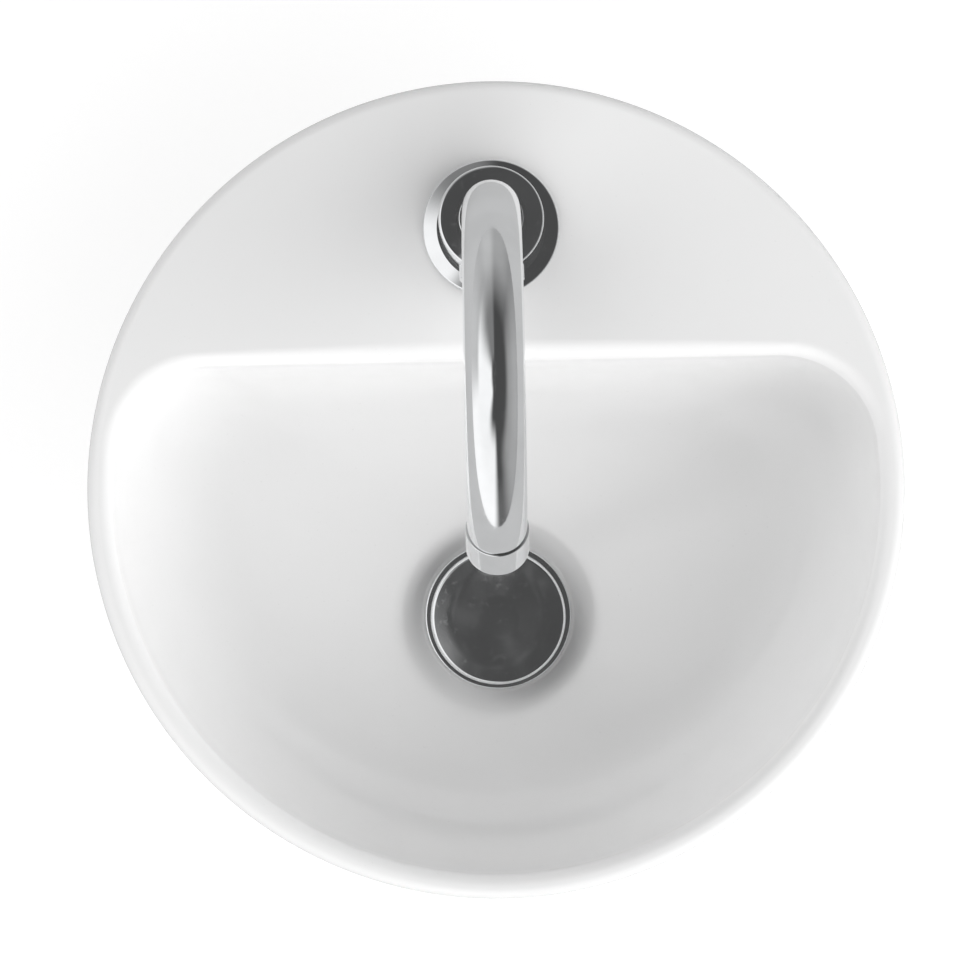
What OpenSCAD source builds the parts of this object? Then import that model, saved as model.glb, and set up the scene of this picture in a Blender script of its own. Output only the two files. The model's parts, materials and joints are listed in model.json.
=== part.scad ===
// Round washbasin with a tap ledge, a swivel-spout mixer tap and a push-to-close waste.
// Millimetres. The origin is the centre of the foot, Z is up and the ledge is at the back, +Y.

/* [Basin] */
// Outer radius of the round rim
rim_r = 190; // [186:1:205]
// Height from the foot to the rim
basin_h = 150; // [146:1:165]
// Width of the rim between its outer face and the bowl wall
rim_band = 11.5; // [11:0.5:14]
// Rounding of the rim's outer edge
rim_edge_r = 5; // [3:0.5:5]
// Height of the upright band of the outer side
side_band_h = 45; // [30:1:60]
// Inward slope of the outer side below the band, in degrees
side_taper = 12; // [6:1:14]
// Radius that blends the upright band into the slope
side_blend_r = 150; // [80:5:200]
// Thickness of the outer side
side_t = 11; // [8:0.5:12]
// Rounding of the bottom edge
base_edge_r = 12; // [6:1:16]
// Width of the flat foot ring
foot_w = 16; // [12:1:20]
// Height of the foot ring inside
foot_h = 8; // [6:1:12]
// Thickness of the tap ledge
deck_t = 14; // [12:0.5:16]

/* [Bowl] */
// Distance from the centre to the bowl's straight back wall, at its top
deck_edge_y = 60; // [50:1:66]
// Corner radius of the bowl at its top
corner_r = 45; // [35:1:55]
// Rounding of the bowl's edge at the rim
lip_r = 5.5; // [3:0.5:5.5]
// Rounding of the bowl's edge at the ledge
deck_lip_r = 9.5; // [5:0.5:11]
// Inward lean of the bowl wall at its top, in degrees
wall_lean = 6; // [2:0.5:8]
// Radius of the floor's outline, where the bowl wall ends
floor_r = 129; // [120:1:140]
// Distance from the centre to the back of the floor's outline
floor_back_y = 28; // [20:1:35]
// Corner radius of the floor's outline
floor_corner_r = 35; // [28:1:42]
// Height of the floor's outline at the front
floor_front_z = 62; // [60:0.5:68]
// Rise of the floor's outline towards the back, per millimetre
floor_tilt = 0.09; // [0.04:0.01:0.12]
// Thickness of the bowl
bowl_t = 9; // [7:0.5:10]
// Distance of the waste from the centre, towards the front
waste_y = -62; // [-70:1:-55]
// Radius of the floor's end at the waste recess
recess_edge_r = 48; // [46:0.5:49]
// Height of the floor's end at the waste recess
recess_edge_z = 57.5; // [56:0.5:59]
// Radius of the flat seat in the waste recess
recess_seat_r = 37.5; // [36.5:0.5:39]
// Height of the flat seat in the waste recess
recess_seat_z = 49; // [47:0.5:50]
// Radius of the waste hole
waste_hole_r = 23; // [22:0.5:25]
// Radius of the boss under the waste
waste_boss_r = 50; // [49:1:54]
// Thickness of the ceramic at the waste hole
waste_boss_t = 19; // [15:0.5:21]

/* [Waste] */
// Outer radius of the waste flange
waste_flange_r = 36; // [34:0.5:36]
// Thickness of the waste flange
waste_flange_t = 3; // [2.5:0.25:4]
// Width of the flat land round the flange
waste_land_w = 11; // [10:0.5:12]
// Width of the chamfer between the dish and the bore
waste_chamfer = 1.5; // [1:0.1:2]
// Depth of the dish inside the land
waste_dish_d = 1.8; // [1:0.1:2]
// Thickness of the gasket under the flange
waste_gasket_t = 1; // [0.8:0.1:2]
// Radius of the 1 1/4 inch pipe thread
waste_thread_r = 20.955; // [20:0.005:21.5]
// Radius of the waste bore
waste_bore_r = 17.5; // [16:0.25:18.5]
// Height of the waste tail's end above the foot
waste_tail_z = 2; // [1:0.5:6]
// Length of thread left free for the trap
trap_thread_l = 11.5; // [10:0.25:12]
// Depth of the relief groove above the free thread
relief_d = 0.7; // [0.5:0.1:1.5]
// Width of the relief groove above the free thread
relief_w = 1; // [0.8:0.1:1.5]
// Thickness of the backnut
backnut_t = 10; // [8:0.5:10.5]
// Width across the flats of the backnut
backnut_af = 55; // [50:1:62]
// Thickness of the slip washer
slip_washer_t = 1.5; // [1:0.1:2]
// Outer radius of the two washers under the basin
outlet_washer_r = 33; // [30:0.5:36]
// Top of the spider hub that carries the click mechanism
spider_z = 38; // [36:0.5:39]
// Height of the spider hub
spider_h = 8; // [6:0.5:10]
// Number of spider arms
spider_arms = 3; // [3:1:4]
// Width of a spider arm
spider_arm_w = 3; // [2:0.25:4]
// Wall of the spider hub
spider_wall = 2.5; // [2:0.25:3]

/* [Click mechanism] */
// Outer radius of the click housing
click_r = 9; // [8.5:0.1:10]
// Bore radius of the click housing
click_bore_r = 6.2; // [5.8:0.1:6.8]
// Length of the click housing below its flange
click_l = 26; // [24:0.5:28]
// Thickness of the click housing's floor
click_floor_t = 3; // [2:0.5:4]
// Height of the click housing's flange above the spider
click_head_h = 4; // [2:0.5:4]
// Travel of the waste cap
cap_travel = 8; // [6:0.5:8]
// Radius of the guide pin under the plunger
guide_pin_r = 3; // [2:0.25:3.4]
// Length of the guide pin under the plunger
guide_pin_l = 8; // [5:0.5:8]
// Plunger length inside the housing
plunger_in_l = 10; // [8:0.5:11]
// Radius of the plunger's threaded end
plunger_thread_r = 4; // [3:0.25:4.5]
// Wire radius of the spring
spring_wire_r = 0.6; // [0.4:0.05:0.7]
// Coil radius of the spring
spring_r = 4.4; // [4.2:0.05:4.8]
// Turns of the spring
spring_turns = 5.5; // [4:0.5:6]
// Radius of the waste cap
cap_r = 33; // [30:0.5:33]
// Thickness of the waste cap
cap_t = 4.5; // [4:0.5:6]
// Rounding of the cap's edge
cap_edge_r = 2; // [1:0.25:2.5]
// Height of the dome of the cap above its edge
cap_dome = 0.8; // [0.4:0.1:1.2]
// Solid ceiling between the plunger's thread and the cap's underside
cap_ceiling = 1.5; // [1.2:0.1:2]
// Radius of the cap's boss
cap_boss_r = 6.5; // [6:0.25:8]
// Outer radius of the cap's seal
cap_seal_r = 31; // [30:0.5:32]
// Width of the cap's seal
cap_seal_w = 5; // [4:0.5:6]
// Thickness of the cap's seal
cap_seal_t = 2; // [1.5:0.1:2.2]

/* [Tap base] */
// Distance from the rim's back to the tap hole
tap_from_rim = 69; // [64:1:74]
// Radius of the tap hole
tap_hole_r = 17.5; // [17:0.25:18.5]
// Thickness of the gasket under the tap
tap_gasket_t = 1.5; // [1:0.1:3]
// Outer radius of the base flange
tap_flange_r = 31.5; // [29:0.5:34]
// Height of the base flange
tap_flange_h = 7.5; // [7:0.5:9]
// Height of the base flange's upright edge
tap_flange_edge_h = 6; // [4:0.25:6.5]
// Radius of the tap body
tap_body_r = 23.6; // [22.5:0.1:25]
// Height of the tap body above its flange
tap_body_h = 53; // [52:0.5:60]
// Radius of the spigot in the tap hole
spigot_r = 16.5; // [16:0.1:16.8]
// Length of the spigot below the ledge's top
spigot_drop = 10; // [8:0.5:12]
// Thread radius of the two hose inlets
inlet_r = 5; // [4.5:0.1:5]
// Depth of the two hose inlets
inlet_depth = 12; // [9:0.5:14]
// Half the distance between the two hose inlets
inlet_x = 8; // [7.6:0.1:8.4]
// Distance of the hose inlets behind the tap's axis
inlet_back = 6.5; // [6:0.1:7]
// Radius of the waterways in the tap body
waterway_r = 2.2; // [1.6:0.1:2.4]
// Distance of the waterways behind the tap's axis
waterway_back = 11.2; // [10.8:0.1:12]
// Radius of the fixing stud
stud_r = 4; // [3:0.25:4.5]
// Length of the fixing stud below the ledge's top
stud_drop = 55; // [48:1:70]
// Depth of the fixing stud in the tap body
stud_in = 10; // [8:0.5:12]
// Distance of the fixing stud in front of the tap's axis
stud_front = 10; // [9.5:0.1:11]
// Outer radius of the horseshoe washers
horseshoe_r = 26; // [24:0.5:30]
// Thickness of the rubber horseshoe
rubber_horseshoe_t = 3; // [2:0.25:4]
// Thickness of the metal horseshoe
metal_horseshoe_t = 2.5; // [2:0.25:3]
// Width of the horseshoes' opening for the hoses
horseshoe_gap = 31; // [28:0.5:34]
// Length of the fixing nut
stud_nut_l = 20; // [12:1:22]
// Width across the flats of the fixing nut
stud_nut_af = 13; // [12:0.5:16]

/* [Spout] */
// Outer radius of the spout tube
spout_r = 12.7; // [11.5:0.1:13.2]
// Wall of the spout tube
spout_t = 1; // [0.8:0.1:1.5]
// Height above the ledge at which the arch starts
riser_h = 110; // [95:1:150]
// Radius of the spout's arch
arch_r = 73.5; // [60:0.5:80]
// Turn of the arch, in degrees
arch_a = 150; // [140:1:175]
// Bore radius of the socket that the spout turns in
socket_r = 15.5; // [15:0.1:16.5]
// Depth of the socket
socket_d = 15; // [15:0.5:16]
// Height of the shank in the socket
shank_h = 10; // [10:0.25:10.5]
// Bore radius of the shank
shank_bore_r = 8; // [6:0.25:9]
// Length of the shank's neck in the tube
shank_neck_l = 11; // [8:0.5:14]
// Height of the water chamber under the shank
plenum_h = 3; // [2.5:0.25:3]
// Radius of the water chamber under the shank
plenum_r = 13.8; // [13.6:0.1:14]
// Section radius of the spout's rubber rings
spout_ring_r = 0.8; // [0.6:0.05:0.85]
// Height of the lower rubber ring's groove above the water chamber
spout_ring_up = 1.6; // [1.4:0.1:1.8]
// Distance between the spout's rubber rings
spout_ring_pitch = 3; // [2.6:0.1:3.2]
// Thickness of the slip ring on the shank
slip_ring_t = 1.2; // [0.8:0.1:1.4]
// Height of the spout collar's neck above the body
collar_h = 2; // [1:0.25:4]
// Radius of the spout collar's neck
collar_r = 14.4; // [14:0.1:15.4]
// Outer radius of the aerator housing
aerator_r = 13.5; // [13.5:0.1:15]
// Length of the aerator housing
aerator_l = 17; // [16:0.5:19]
// Bore radius at the aerator housing's mouth
aerator_mouth_r = 10.6; // [9.5:0.1:11]
// Length of the threaded sleeve inside the tube's end
sleeve_in_l = 3; // [2:0.5:3.5]
// Thickness of the collar where the sleeve is brazed to the tube's end
sleeve_collar_t = 1; // [0.8:0.1:1.2]
// Step from the tube's outside down to that collar
sleeve_collar_step = 0.2; // [0.1:0.05:0.4]
// Length of the threaded sleeve beyond the tube's end
sleeve_out_l = 6.5; // [5:0.25:7]
// Bore radius of the threaded sleeve
sleeve_bore_r = 9.8; // [8:0.1:10.5]
// Thickness of the aerator's washer
aerator_washer_t = 1.5; // [1:0.1:2]
// Thickness of the aerator insert's rim
insert_rim_t = 1.2; // [1:0.1:1.5]
// Length of the aerator insert below its rim
insert_l = 6; // [4:0.25:6.5]
// Width of one opening of the aerator's grid
grid_hole = 2; // [1.5:0.1:2.5]
// Distance between the openings of the aerator's grid
grid_pitch = 3; // [2.6:0.1:3.5]

/* [Cartridge] */
// Height of the cartridge's axis above the tap body's foot
cartridge_h = 22; // [20:0.25:22.5]
// Bore radius of the cartridge chamber
chamber_r = 12.75; // [12.5:0.05:13]
// Distance of the chamber's floor behind the tap's axis
chamber_back = 8; // [7.5:0.1:8.3]
// Outer radius of the boss round the chamber's mouth
boss_r = 14.8; // [14.4:0.1:15]
// Distance of the boss's face in front of the tap's axis
boss_face = 24.5; // [24.2:0.1:26]
// Thickness of the cartridge's base
cartridge_base_t = 4; // [3:0.25:5]
// Thickness of the seals in the cartridge's base
seal_t = 1; // [0.8:0.1:1.5]
// Wall of the cartridge's housing
cartridge_wall = 1.9; // [1.5:0.1:2.2]
// Thickness of the housing's front web
cartridge_web_t = 3; // [2:0.25:3.5]
// Length of the cartridge's inner space
cartridge_space_l = 21; // [20.5:0.25:22]
// Thickness of each ceramic disc
disc_t = 3; // [2.5:0.25:3.25]
// Radius of the moving ceramic disc
moving_disc_r = 8.6; // [8:0.1:8.8]
// Thickness of the carrier on the moving disc
carrier_t = 3; // [2.5:0.25:3.25]
// Distance from the cartridge's inner floor to the lever's pivot
pivot_d = 13.5; // [13:0.25:14.5]
// Distance from the pivot to the lever's tail ball
tail_l = 5; // [4.5:0.1:5.25]
// Radius of the lever's tail ball
tail_ball_r = 1.8; // [1.5:0.1:1.9]
// Radius of the pivot pin
pivot_pin_r = 1.25; // [1:0.05:1.5]
// Radius of each inlet port
inlet_port_r = 2; // [1.5:0.1:2.1]
// Sideways distance of the inlet ports from the axis
inlet_port_x = 5.2; // [5:0.1:5.5]
// Distance of the inlet ports below the axis
inlet_port_drop = 4; // [3.8:0.1:4.5]
// Distance of the outlet port above the axis
outlet_port_rise = 4.5; // [4:0.1:5]
// Length of the cartridge nut
cartridge_nut_l = 3; // [2.5:0.25:3.5]

/* [Lever] */
// Droop of the lever's stem below level when the tap is shut, in degrees
stem_droop = 8; // [6:0.5:9]
// Lift of the lever from shut to fully open, in degrees
lever_lift = 25; // [20:1:25]
// Radius of the lever's stem
stem_r = 3.2; // [2.8:0.1:3.3]
// Length of the bonnet ring
bonnet_l = 4; // [3:0.25:4]
// Radius of the opening in the bonnet ring
bonnet_bore_r = 9.6; // [9.4:0.1:10]
// Radius of the bonnet ring's front
bonnet_front_r = 12; // [11.5:0.1:13]
// Distance from the pivot to the hub
hub_d = 22.5; // [22:0.5:25]
// Radius of the lever's hub
hub_r = 9; // [8:0.25:9.5]
// Length of the lever's hub
hub_l = 14.5; // [13:0.5:17]
// Height of the hub's domed nose
hub_nose_h = 2; // [1.5:0.25:3]
// Rounding of the hub's domed nose
hub_nose_r = 3.5; // [2.5:0.25:4]
// Depth of the stem in the hub
hub_bore_d = 6.5; // [5:0.5:7]
// Radius of the pin lever
pin_r = 3.25; // [2.5:0.25:3.75]
// Length of the pin lever
pin_l = 52; // [40:1:70]
// Height of the pin lever's root above the stem's axis
pin_root_up = 1.5; // [0.5:0.1:2]
// Distance of the pin lever's root from the stem's end
pin_root_gap = 3.5; // [3:0.1:4]
// Upward slope of the pin lever from the stem, in degrees
pin_rise = 25; // [20:1:30]
// Radius of the grub screw
grub_r = 2; // [1.5:0.25:2.5]

/* [Clearances] */
// Gap round threads and between parts that turn in each other
thread_gap = 0.05; // [0.03:0.01:0.08]
// Gap between parts that only pass each other
pass_gap = 0.3; // [0.2:0.05:0.5]

/* [Hidden] */
$fn = 64;
ceramic_colour = [0.96, 0.96, 0.95];
chrome_colour = [0.75, 0.77, 0.8];
brass_colour = [0.8, 0.68, 0.36];
rubber_colour = [0.15, 0.15, 0.16];
plastic_colour = [0.86, 0.87, 0.84];
steel_colour = [0.65, 0.66, 0.68];
eps = 0.01;

bowl_r = rim_r - rim_band;
side_z = basin_h - side_band_h;
foot_r = rim_r - side_z * tan(side_taper);
foot_flat_r = foot_r - base_edge_r * tan((90 - side_taper) / 2);
foot_in_r = foot_flat_r - foot_w;
deck_under_z = basin_h - deck_t;
boss_under_z = recess_seat_z - waste_boss_t;
recess_slope = (recess_edge_r - recess_seat_r) / (recess_edge_z - recess_seat_z);
bowl_sides = 80;
wall_steps = 8;
lip_steps = 4;
lip_from = 20;

tap_y = rim_r - tap_from_rim;
tap_seat_z = basin_h + tap_gasket_t;
tap_foot_z = tap_seat_z + tap_flange_h;
tap_top_z = tap_foot_z + tap_body_h;
cartridge_z = tap_foot_z + cartridge_h;
spigot_z = basin_h - spigot_drop;
inlet_y = tap_y + inlet_back;
stud_y = tap_y - stud_front;
cartridge_r = chamber_r - pass_gap;
cavity_r = cartridge_r - cartridge_wall;
space_floor = cartridge_base_t - chamber_back;
web_back = space_floor + cartridge_space_l;
web_front = web_back + cartridge_web_t;
moving_disc_at = space_floor + disc_t;
carrier_at = moving_disc_at + disc_t;
carrier_front = carrier_at + carrier_t;
pivot_t = space_floor + pivot_d;
disc_shift = tail_l * sin(stem_droop);

socket_z = tap_top_z - socket_d;
shank_z = socket_z + pass_gap;
shoulder_z = shank_z + shank_h;
slip_ring_z = shoulder_z + slip_ring_t;
riser_z = basin_h + riser_h;
arch_y = tap_y - arch_r;

waste_flange_z = recess_seat_z + waste_gasket_t;
waste_top_z = waste_flange_z + waste_flange_t;
thread_top_z = waste_tail_z + trap_thread_l;
backnut_z = thread_top_z + relief_w;
slip_washer_z = backnut_z + backnut_t;
outlet_washer_z = slip_washer_z + slip_washer_t;
click_top_z = spider_z + click_head_h;
click_bottom_z = spider_z - click_l;
plunger_z = click_top_z - plunger_in_l;
cap_boss_z = click_top_z + cap_travel + pass_gap;
cap_z = waste_top_z + thread_gap + cap_seal_t + cap_travel;

// Points of an arc of radius r that rounds the corner p between the points a and b.
function round_corner(a, p, b, r, n) =
    let (
        u = (a - p) / norm(a - p),
        v = (b - p) / norm(b - p),
        half = acos(max(-1, min(1, u * v))) / 2,
        start = p + u * r / tan(half),
        centre = p + (u + v) / norm(u + v) * r / sin(half),
        end = p + v * r / tan(half),
        a0 = atan2(start.y - centre.y, start.x - centre.x),
        a1 = atan2(end.y - centre.y, end.x - centre.x),
        turn = (a1 - a0 + 540) % 360 - 180
    )
    [for (i = [0:n]) centre + r * [cos(a0 + turn * i / n), sin(a0 + turn * i / n)]];

// A polygon whose corners [x, y, radius] are rounded by their radius.
function rounded(p, n = 5) = [
    for (i = [0:len(p) - 1])
        let (
            a = p[(i + len(p) - 1) % len(p)],
            b = p[(i + 1) % len(p)],
            c = p[i]
        )
        each (c[2] > 0
            ? round_corner([a.x, a.y], [c.x, c.y], [b.x, b.y], c[2], n)
            : [[c.x, c.y]])
];

function bezier(a, b, c, n) = [
    for (i = [0:n])
        let (t = i / n)
        (1 - t) * (1 - t) * a + 2 * t * (1 - t) * b + t * t * c
];

function ramp(x) = let (t = max(0, min(1, x))) t * t * (3 - 2 * t);

// Distance from the waste to a D-shaped outline, in direction a: a circle of radius r about the
// basin's centre, cut by the line y = back, with its corners rounded by f.
function outline(a, r, back, f) =
    let (
        c = abs(cos(a)),
        s = sin(a),
        dir = atan2(s, c),
        fy = back - f,
        fx = sqrt(pow(r - f, 2) - fy * fy),
        line_end = atan2(back - waste_y, fx),
        arc_end = atan2(fy * r / (r - f) - waste_y, fx * r / (r - f)),
        qy = fy - waste_y,
        b = fx * c + qy * s
    )
    dir >= line_end ? (back - waste_y) / s
    : dir <= arc_end ? -waste_y * s + sqrt(r * r - pow(waste_y * c, 2))
    : b + sqrt(b * b - fx * fx - qy * qy + f * f);

function top_reach(a) = outline(a, bowl_r, deck_edge_y, corner_r);
function floor_reach(a) = outline(a, floor_r, floor_back_y, floor_corner_r);
function floor_z(a) = floor_front_z + floor_tilt * (waste_y + floor_reach(a) * sin(a) + floor_r);
function floor_slope(a) = (floor_z(a) - recess_edge_z) / (floor_reach(a) - recess_edge_r);
function lip(a) = lip_r + (deck_lip_r - lip_r) * ramp((sin(a) - 0.35) / 0.4);

// A point [distance, height] of a rounded lip of radius r, whose wall starts at the distance reach.
function lip_point(reach, r, turn) = [reach + r * (1 - sin(turn)), basin_h - r * (1 - cos(turn))];

// Where the lean of the wall below its top meets the slope of the floor beyond its foot.
function wall_bend(top, foot, slope) =
    let (drop = (top.y - foot.y - slope * (top.x - foot.x)) / (cos(wall_lean) - slope * sin(wall_lean)))
    top - drop * [sin(wall_lean), cos(wall_lean)];

// The bowl wall in direction a, from its top to its foot.
function wall(a) =
    let (
        top = lip_point(top_reach(a), lip(a), 90 - wall_lean),
        foot = [floor_reach(a), floor_z(a)]
    )
    bezier(top, wall_bend(top, foot, floor_slope(a)), foot, wall_steps);

// The bowl's section in direction a, from above the rim down to the waste recess.
function bowl_section(a) = concat(
    [[lip_point(top_reach(a), lip(a), lip_from).x + lip(a) * 0.2, basin_h + 1]],
    [
        for (i = [0:lip_steps - 1])
            lip_point(top_reach(a), lip(a), lip_from + (90 - wall_lean - lip_from) * i / lip_steps)
    ],
    wall(a),
    [[(floor_reach(a) + recess_edge_r) / 2, (floor_z(a) + recess_edge_z) / 2]],
    [[recess_edge_r, recess_edge_z]],
    [[recess_edge_r - 3 * recess_slope - 1, recess_edge_z - 3]]
);

// Closes rings of n points each, from the top ring down to the last.
function ring_faces(rings, n) = concat(
    [for (k = [0:rings - 2], i = [0:n - 1]) [k * n + i, (k + 1) * n + (i + 1) % n, (k + 1) * n + i]],
    [for (k = [0:rings - 2], i = [0:n - 1]) [k * n + i, k * n + (i + 1) % n, (k + 1) * n + (i + 1) % n]],
    [[for (i = [n - 1:-1:0]) i]],
    [[for (i = [0:n - 1]) (rings - 1) * n + i]]
);

module lathe(p, n = 5) {
    rotate_extrude() polygon(rounded(p, n));
}

module ring(outer, inner, z, h) {
    translate([0, 0, z]) difference() {
        cylinder(r = outer, h = h);
        translate([0, 0, -1]) cylinder(r = inner, h = h + 2);
    }
}

module bowl_space() {
    sections = [for (i = [0:bowl_sides - 1]) bowl_section(i * 360 / bowl_sides)];
    rings = len(sections[0]);
    points = [
        for (k = [0:rings - 1], i = [0:bowl_sides - 1])
            let (a = i * 360 / bowl_sides, p = sections[i][k])
            [p.x * cos(a), waste_y + p.x * sin(a), p.y]
    ];
    polyhedron(points, ring_faces(rings, bowl_sides), convexity = 6);
}

// The ceramic that stays round the bowl inside the hollow foot.
module bowl_skin() {
    top_z = deck_under_z + 1;
    front_bend = wall_bend(
        lip_point(bowl_r, lip_r, 90 - wall_lean),
        [floor_r, floor_front_z],
        floor_slope(-90)
    );
    back_bend = wall_bend(
        lip_point(deck_edge_y, deck_lip_r, 90 - wall_lean),
        [floor_back_y, floor_z(90)],
        floor_slope(90)
    );
    under_z = recess_edge_z - bowl_t;
    front = bezier(
        [floor_r, floor_front_z - bowl_t],
        front_bend + [bowl_t, -bowl_t],
        [bowl_r + bowl_t, top_z],
        wall_steps
    );
    back = bezier(
        [floor_back_y + bowl_t / 2, floor_z(90) - bowl_t],
        back_bend + [bowl_t, -bowl_t],
        [deck_edge_y + bowl_t, top_z],
        wall_steps
    );
    intersection() {
        rotate_extrude() polygon(concat([[0, under_z], [recess_edge_r, under_z]], front, [[0, top_z]]));
        rotate([90, 0, 90]) linear_extrude(2 * rim_r, center = true) polygon(concat(
            [[-rim_r, under_z - 1], [waste_y + recess_edge_r, under_z - 1]],
            back,
            [[-rim_r, top_z + 1]]
        ));
    }
}

module basin_hollow() {
    side_in_r = rim_r - side_t;
    foot_top_z = foot_h + 6;
    difference() {
        rotate_extrude() polygon([
            [0, -1],
            [foot_in_r, -1],
            [foot_in_r, foot_h],
            [side_in_r - (side_z - foot_top_z) * tan(side_taper), foot_top_z],
            [side_in_r, side_z],
            [side_in_r, deck_under_z],
            [0, deck_under_z]
        ]);
        bowl_skin();
        translate([0, waste_y, boss_under_z]) cylinder(r = waste_boss_r, h = recess_edge_z - boss_under_z);
    }
}

module basin() {
    recess_h = recess_edge_z - recess_seat_z + 4;
    color(ceramic_colour) difference() {
        lathe([
            [0, 0, 0],
            [foot_r, 0, base_edge_r],
            [rim_r, side_z, side_blend_r],
            [rim_r, basin_h, rim_edge_r],
            [0, basin_h, 0]
        ]);
        basin_hollow();
        bowl_space();
        translate([0, waste_y, recess_seat_z]) cylinder(
            r1 = recess_seat_r,
            r2 = recess_seat_r + recess_h * recess_slope + 2,
            h = recess_h
        );
        translate([0, waste_y, boss_under_z - 1]) cylinder(r = waste_hole_r, h = waste_boss_t + 2);
        translate([0, tap_y, deck_under_z - 1]) cylinder(r = tap_hole_r, h = deck_t + 2);
    }
}

module at_waste() {
    translate([0, waste_y, 0]) children();
}

module waste_body() {
    dish_r = waste_flange_r - waste_land_w;
    dish_z = waste_top_z - waste_dish_d;
    color(chrome_colour) at_waste() {
        difference() {
            lathe([
                [0, waste_tail_z, 0],
                [waste_thread_r, waste_tail_z, 0],
                [waste_thread_r, thread_top_z, 0],
                [waste_thread_r - relief_d, thread_top_z, 0],
                [waste_thread_r - relief_d, thread_top_z + relief_w, 0],
                [waste_thread_r, thread_top_z + relief_w, 0],
                [waste_thread_r, waste_flange_z, 0],
                [waste_flange_r, waste_flange_z, 0],
                [waste_flange_r, waste_top_z, 1],
                [0, waste_top_z, 0]
            ]);
            rotate_extrude() polygon([
                [0, waste_tail_z - 1],
                [waste_bore_r, waste_tail_z - 1],
                [waste_bore_r, dish_z - waste_chamfer],
                [waste_bore_r + waste_chamfer, dish_z],
                [dish_r, waste_top_z],
                [dish_r, waste_top_z + 1],
                [0, waste_top_z + 1]
            ]);
        }
        difference() {
            union() {
                translate([0, 0, spider_z - spider_h]) cylinder(
                    r = click_r + thread_gap + spider_wall,
                    h = spider_h
                );
                for (i = [0:spider_arms - 1])
                    rotate([0, 0, 90 + i * 360 / spider_arms])
                        translate([click_r + 1, -spider_arm_w / 2, spider_z - spider_h])
                            cube([waste_bore_r - click_r, spider_arm_w, spider_h]);
            }
            translate([0, 0, spider_z - spider_h - 1]) cylinder(r = click_r + thread_gap, h = spider_h + 2);
        }
    }
}

module waste_flange_gasket() {
    color(rubber_colour) at_waste()
        ring(waste_flange_r - 1, waste_thread_r + pass_gap, recess_seat_z, waste_gasket_t);
}

module waste_outlet_washer() {
    color(rubber_colour) at_waste()
        ring(outlet_washer_r, waste_thread_r + pass_gap, outlet_washer_z, boss_under_z - outlet_washer_z);
}

module waste_slip_washer() {
    color(plastic_colour) at_waste()
        ring(outlet_washer_r, waste_thread_r + pass_gap, slip_washer_z, slip_washer_t);
}

module waste_backnut() {
    hex_r = backnut_af / 2 / cos(30);
    color(brass_colour) at_waste() translate([0, 0, backnut_z]) difference() {
        intersection() {
            cylinder(r = hex_r, h = backnut_t, $fn = 6);
            lathe([
                [0, 0, 0],
                [hex_r - 2, 0, 0],
                [hex_r, 2, 0],
                [hex_r, backnut_t, 0],
                [0, backnut_t, 0]
            ]);
        }
        translate([0, 0, -1]) cylinder(r = waste_thread_r + thread_gap, h = backnut_t + 2);
    }
}

module click_housing() {
    color(plastic_colour) at_waste() difference() {
        lathe([
            [0, click_bottom_z, 0],
            [click_r, click_bottom_z, 1],
            [click_r, spider_z, 0],
            [click_r + spider_wall, spider_z, 0],
            [click_r + spider_wall, click_top_z, 1],
            [0, click_top_z, 0]
        ]);
        translate([0, 0, click_bottom_z + click_floor_t])
            cylinder(r = click_bore_r, h = click_l + click_head_h);
    }
}

// A round wire wound into a helix of constant pitch, between two flat levels.
module click_spring() {
    sides = 6;
    steps = 12;
    z0 = click_bottom_z + click_floor_t + spring_wire_r + eps;
    z1 = plunger_z - spring_wire_r - eps;
    rings = spring_turns * steps + 1;
    points = [
        for (k = [0:rings - 1], i = [0:sides - 1])
            let (
                a = 360 * k / steps,
                b = 360 * i / sides,
                r = spring_r + spring_wire_r * cos(b)
            )
            [r * cos(a), r * sin(a), z0 + (z1 - z0) * k / (rings - 1) + spring_wire_r * sin(b)]
    ];
    color(steel_colour) at_waste() polyhedron(points, ring_faces(rings, sides), convexity = 8);
}

module click_plunger() {
    color(plastic_colour) at_waste() lathe([
        [0, plunger_z - guide_pin_l, 0],
        [guide_pin_r, plunger_z - guide_pin_l, 0.5],
        [guide_pin_r, plunger_z, 0],
        [click_bore_r - thread_gap, plunger_z, 0],
        [click_bore_r - thread_gap, cap_boss_z, 0],
        [plunger_thread_r, cap_boss_z, 0],
        [plunger_thread_r, cap_z - cap_ceiling, 0],
        [0, cap_z - cap_ceiling, 0]
    ]);
}

module waste_cap() {
    color(chrome_colour) at_waste() difference() {
        lathe([
            [0, cap_boss_z, 0],
            [cap_boss_r, cap_boss_z, 0],
            [cap_boss_r, cap_z, 0],
            [cap_r, cap_z, 0.6],
            [cap_r, cap_z + cap_t - cap_dome, cap_edge_r],
            [0, cap_z + cap_t, 0]
        ]);
        translate([0, 0, cap_boss_z - 1])
            cylinder(r = plunger_thread_r + thread_gap, h = cap_z - cap_ceiling + 0.5 - cap_boss_z + 1);
    }
}

module waste_cap_seal() {
    color(rubber_colour) at_waste()
        ring(cap_seal_r, cap_seal_r - cap_seal_w, cap_z - cap_seal_t, cap_seal_t);
}

module at_tap() {
    translate([0, tap_y, 0]) children();
}

module tap_gasket() {
    color(rubber_colour) at_tap() ring(tap_flange_r - 2, tap_hole_r, basin_h, tap_gasket_t);
}

module tap_base_flange() {
    color(chrome_colour) at_tap() difference() {
        lathe([
            [0, tap_seat_z, 0],
            [tap_flange_r, tap_seat_z, 0],
            [tap_flange_r, tap_seat_z + tap_flange_edge_h, 1],
            [tap_body_r + 1.5, tap_foot_z, 1],
            [0, tap_foot_z, 0]
        ]);
        translate([0, 0, tap_seat_z - 1]) cylinder(r = spigot_r + pass_gap, h = tap_flange_h + 2);
    }
}

// A frame whose Z axis points forward along the cartridge, with t = 0 on the tap's axis.
module at_cartridge(t = 0) {
    translate([0, tap_y - t, cartridge_z]) rotate([90, 0, 0]) children();
}

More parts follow.
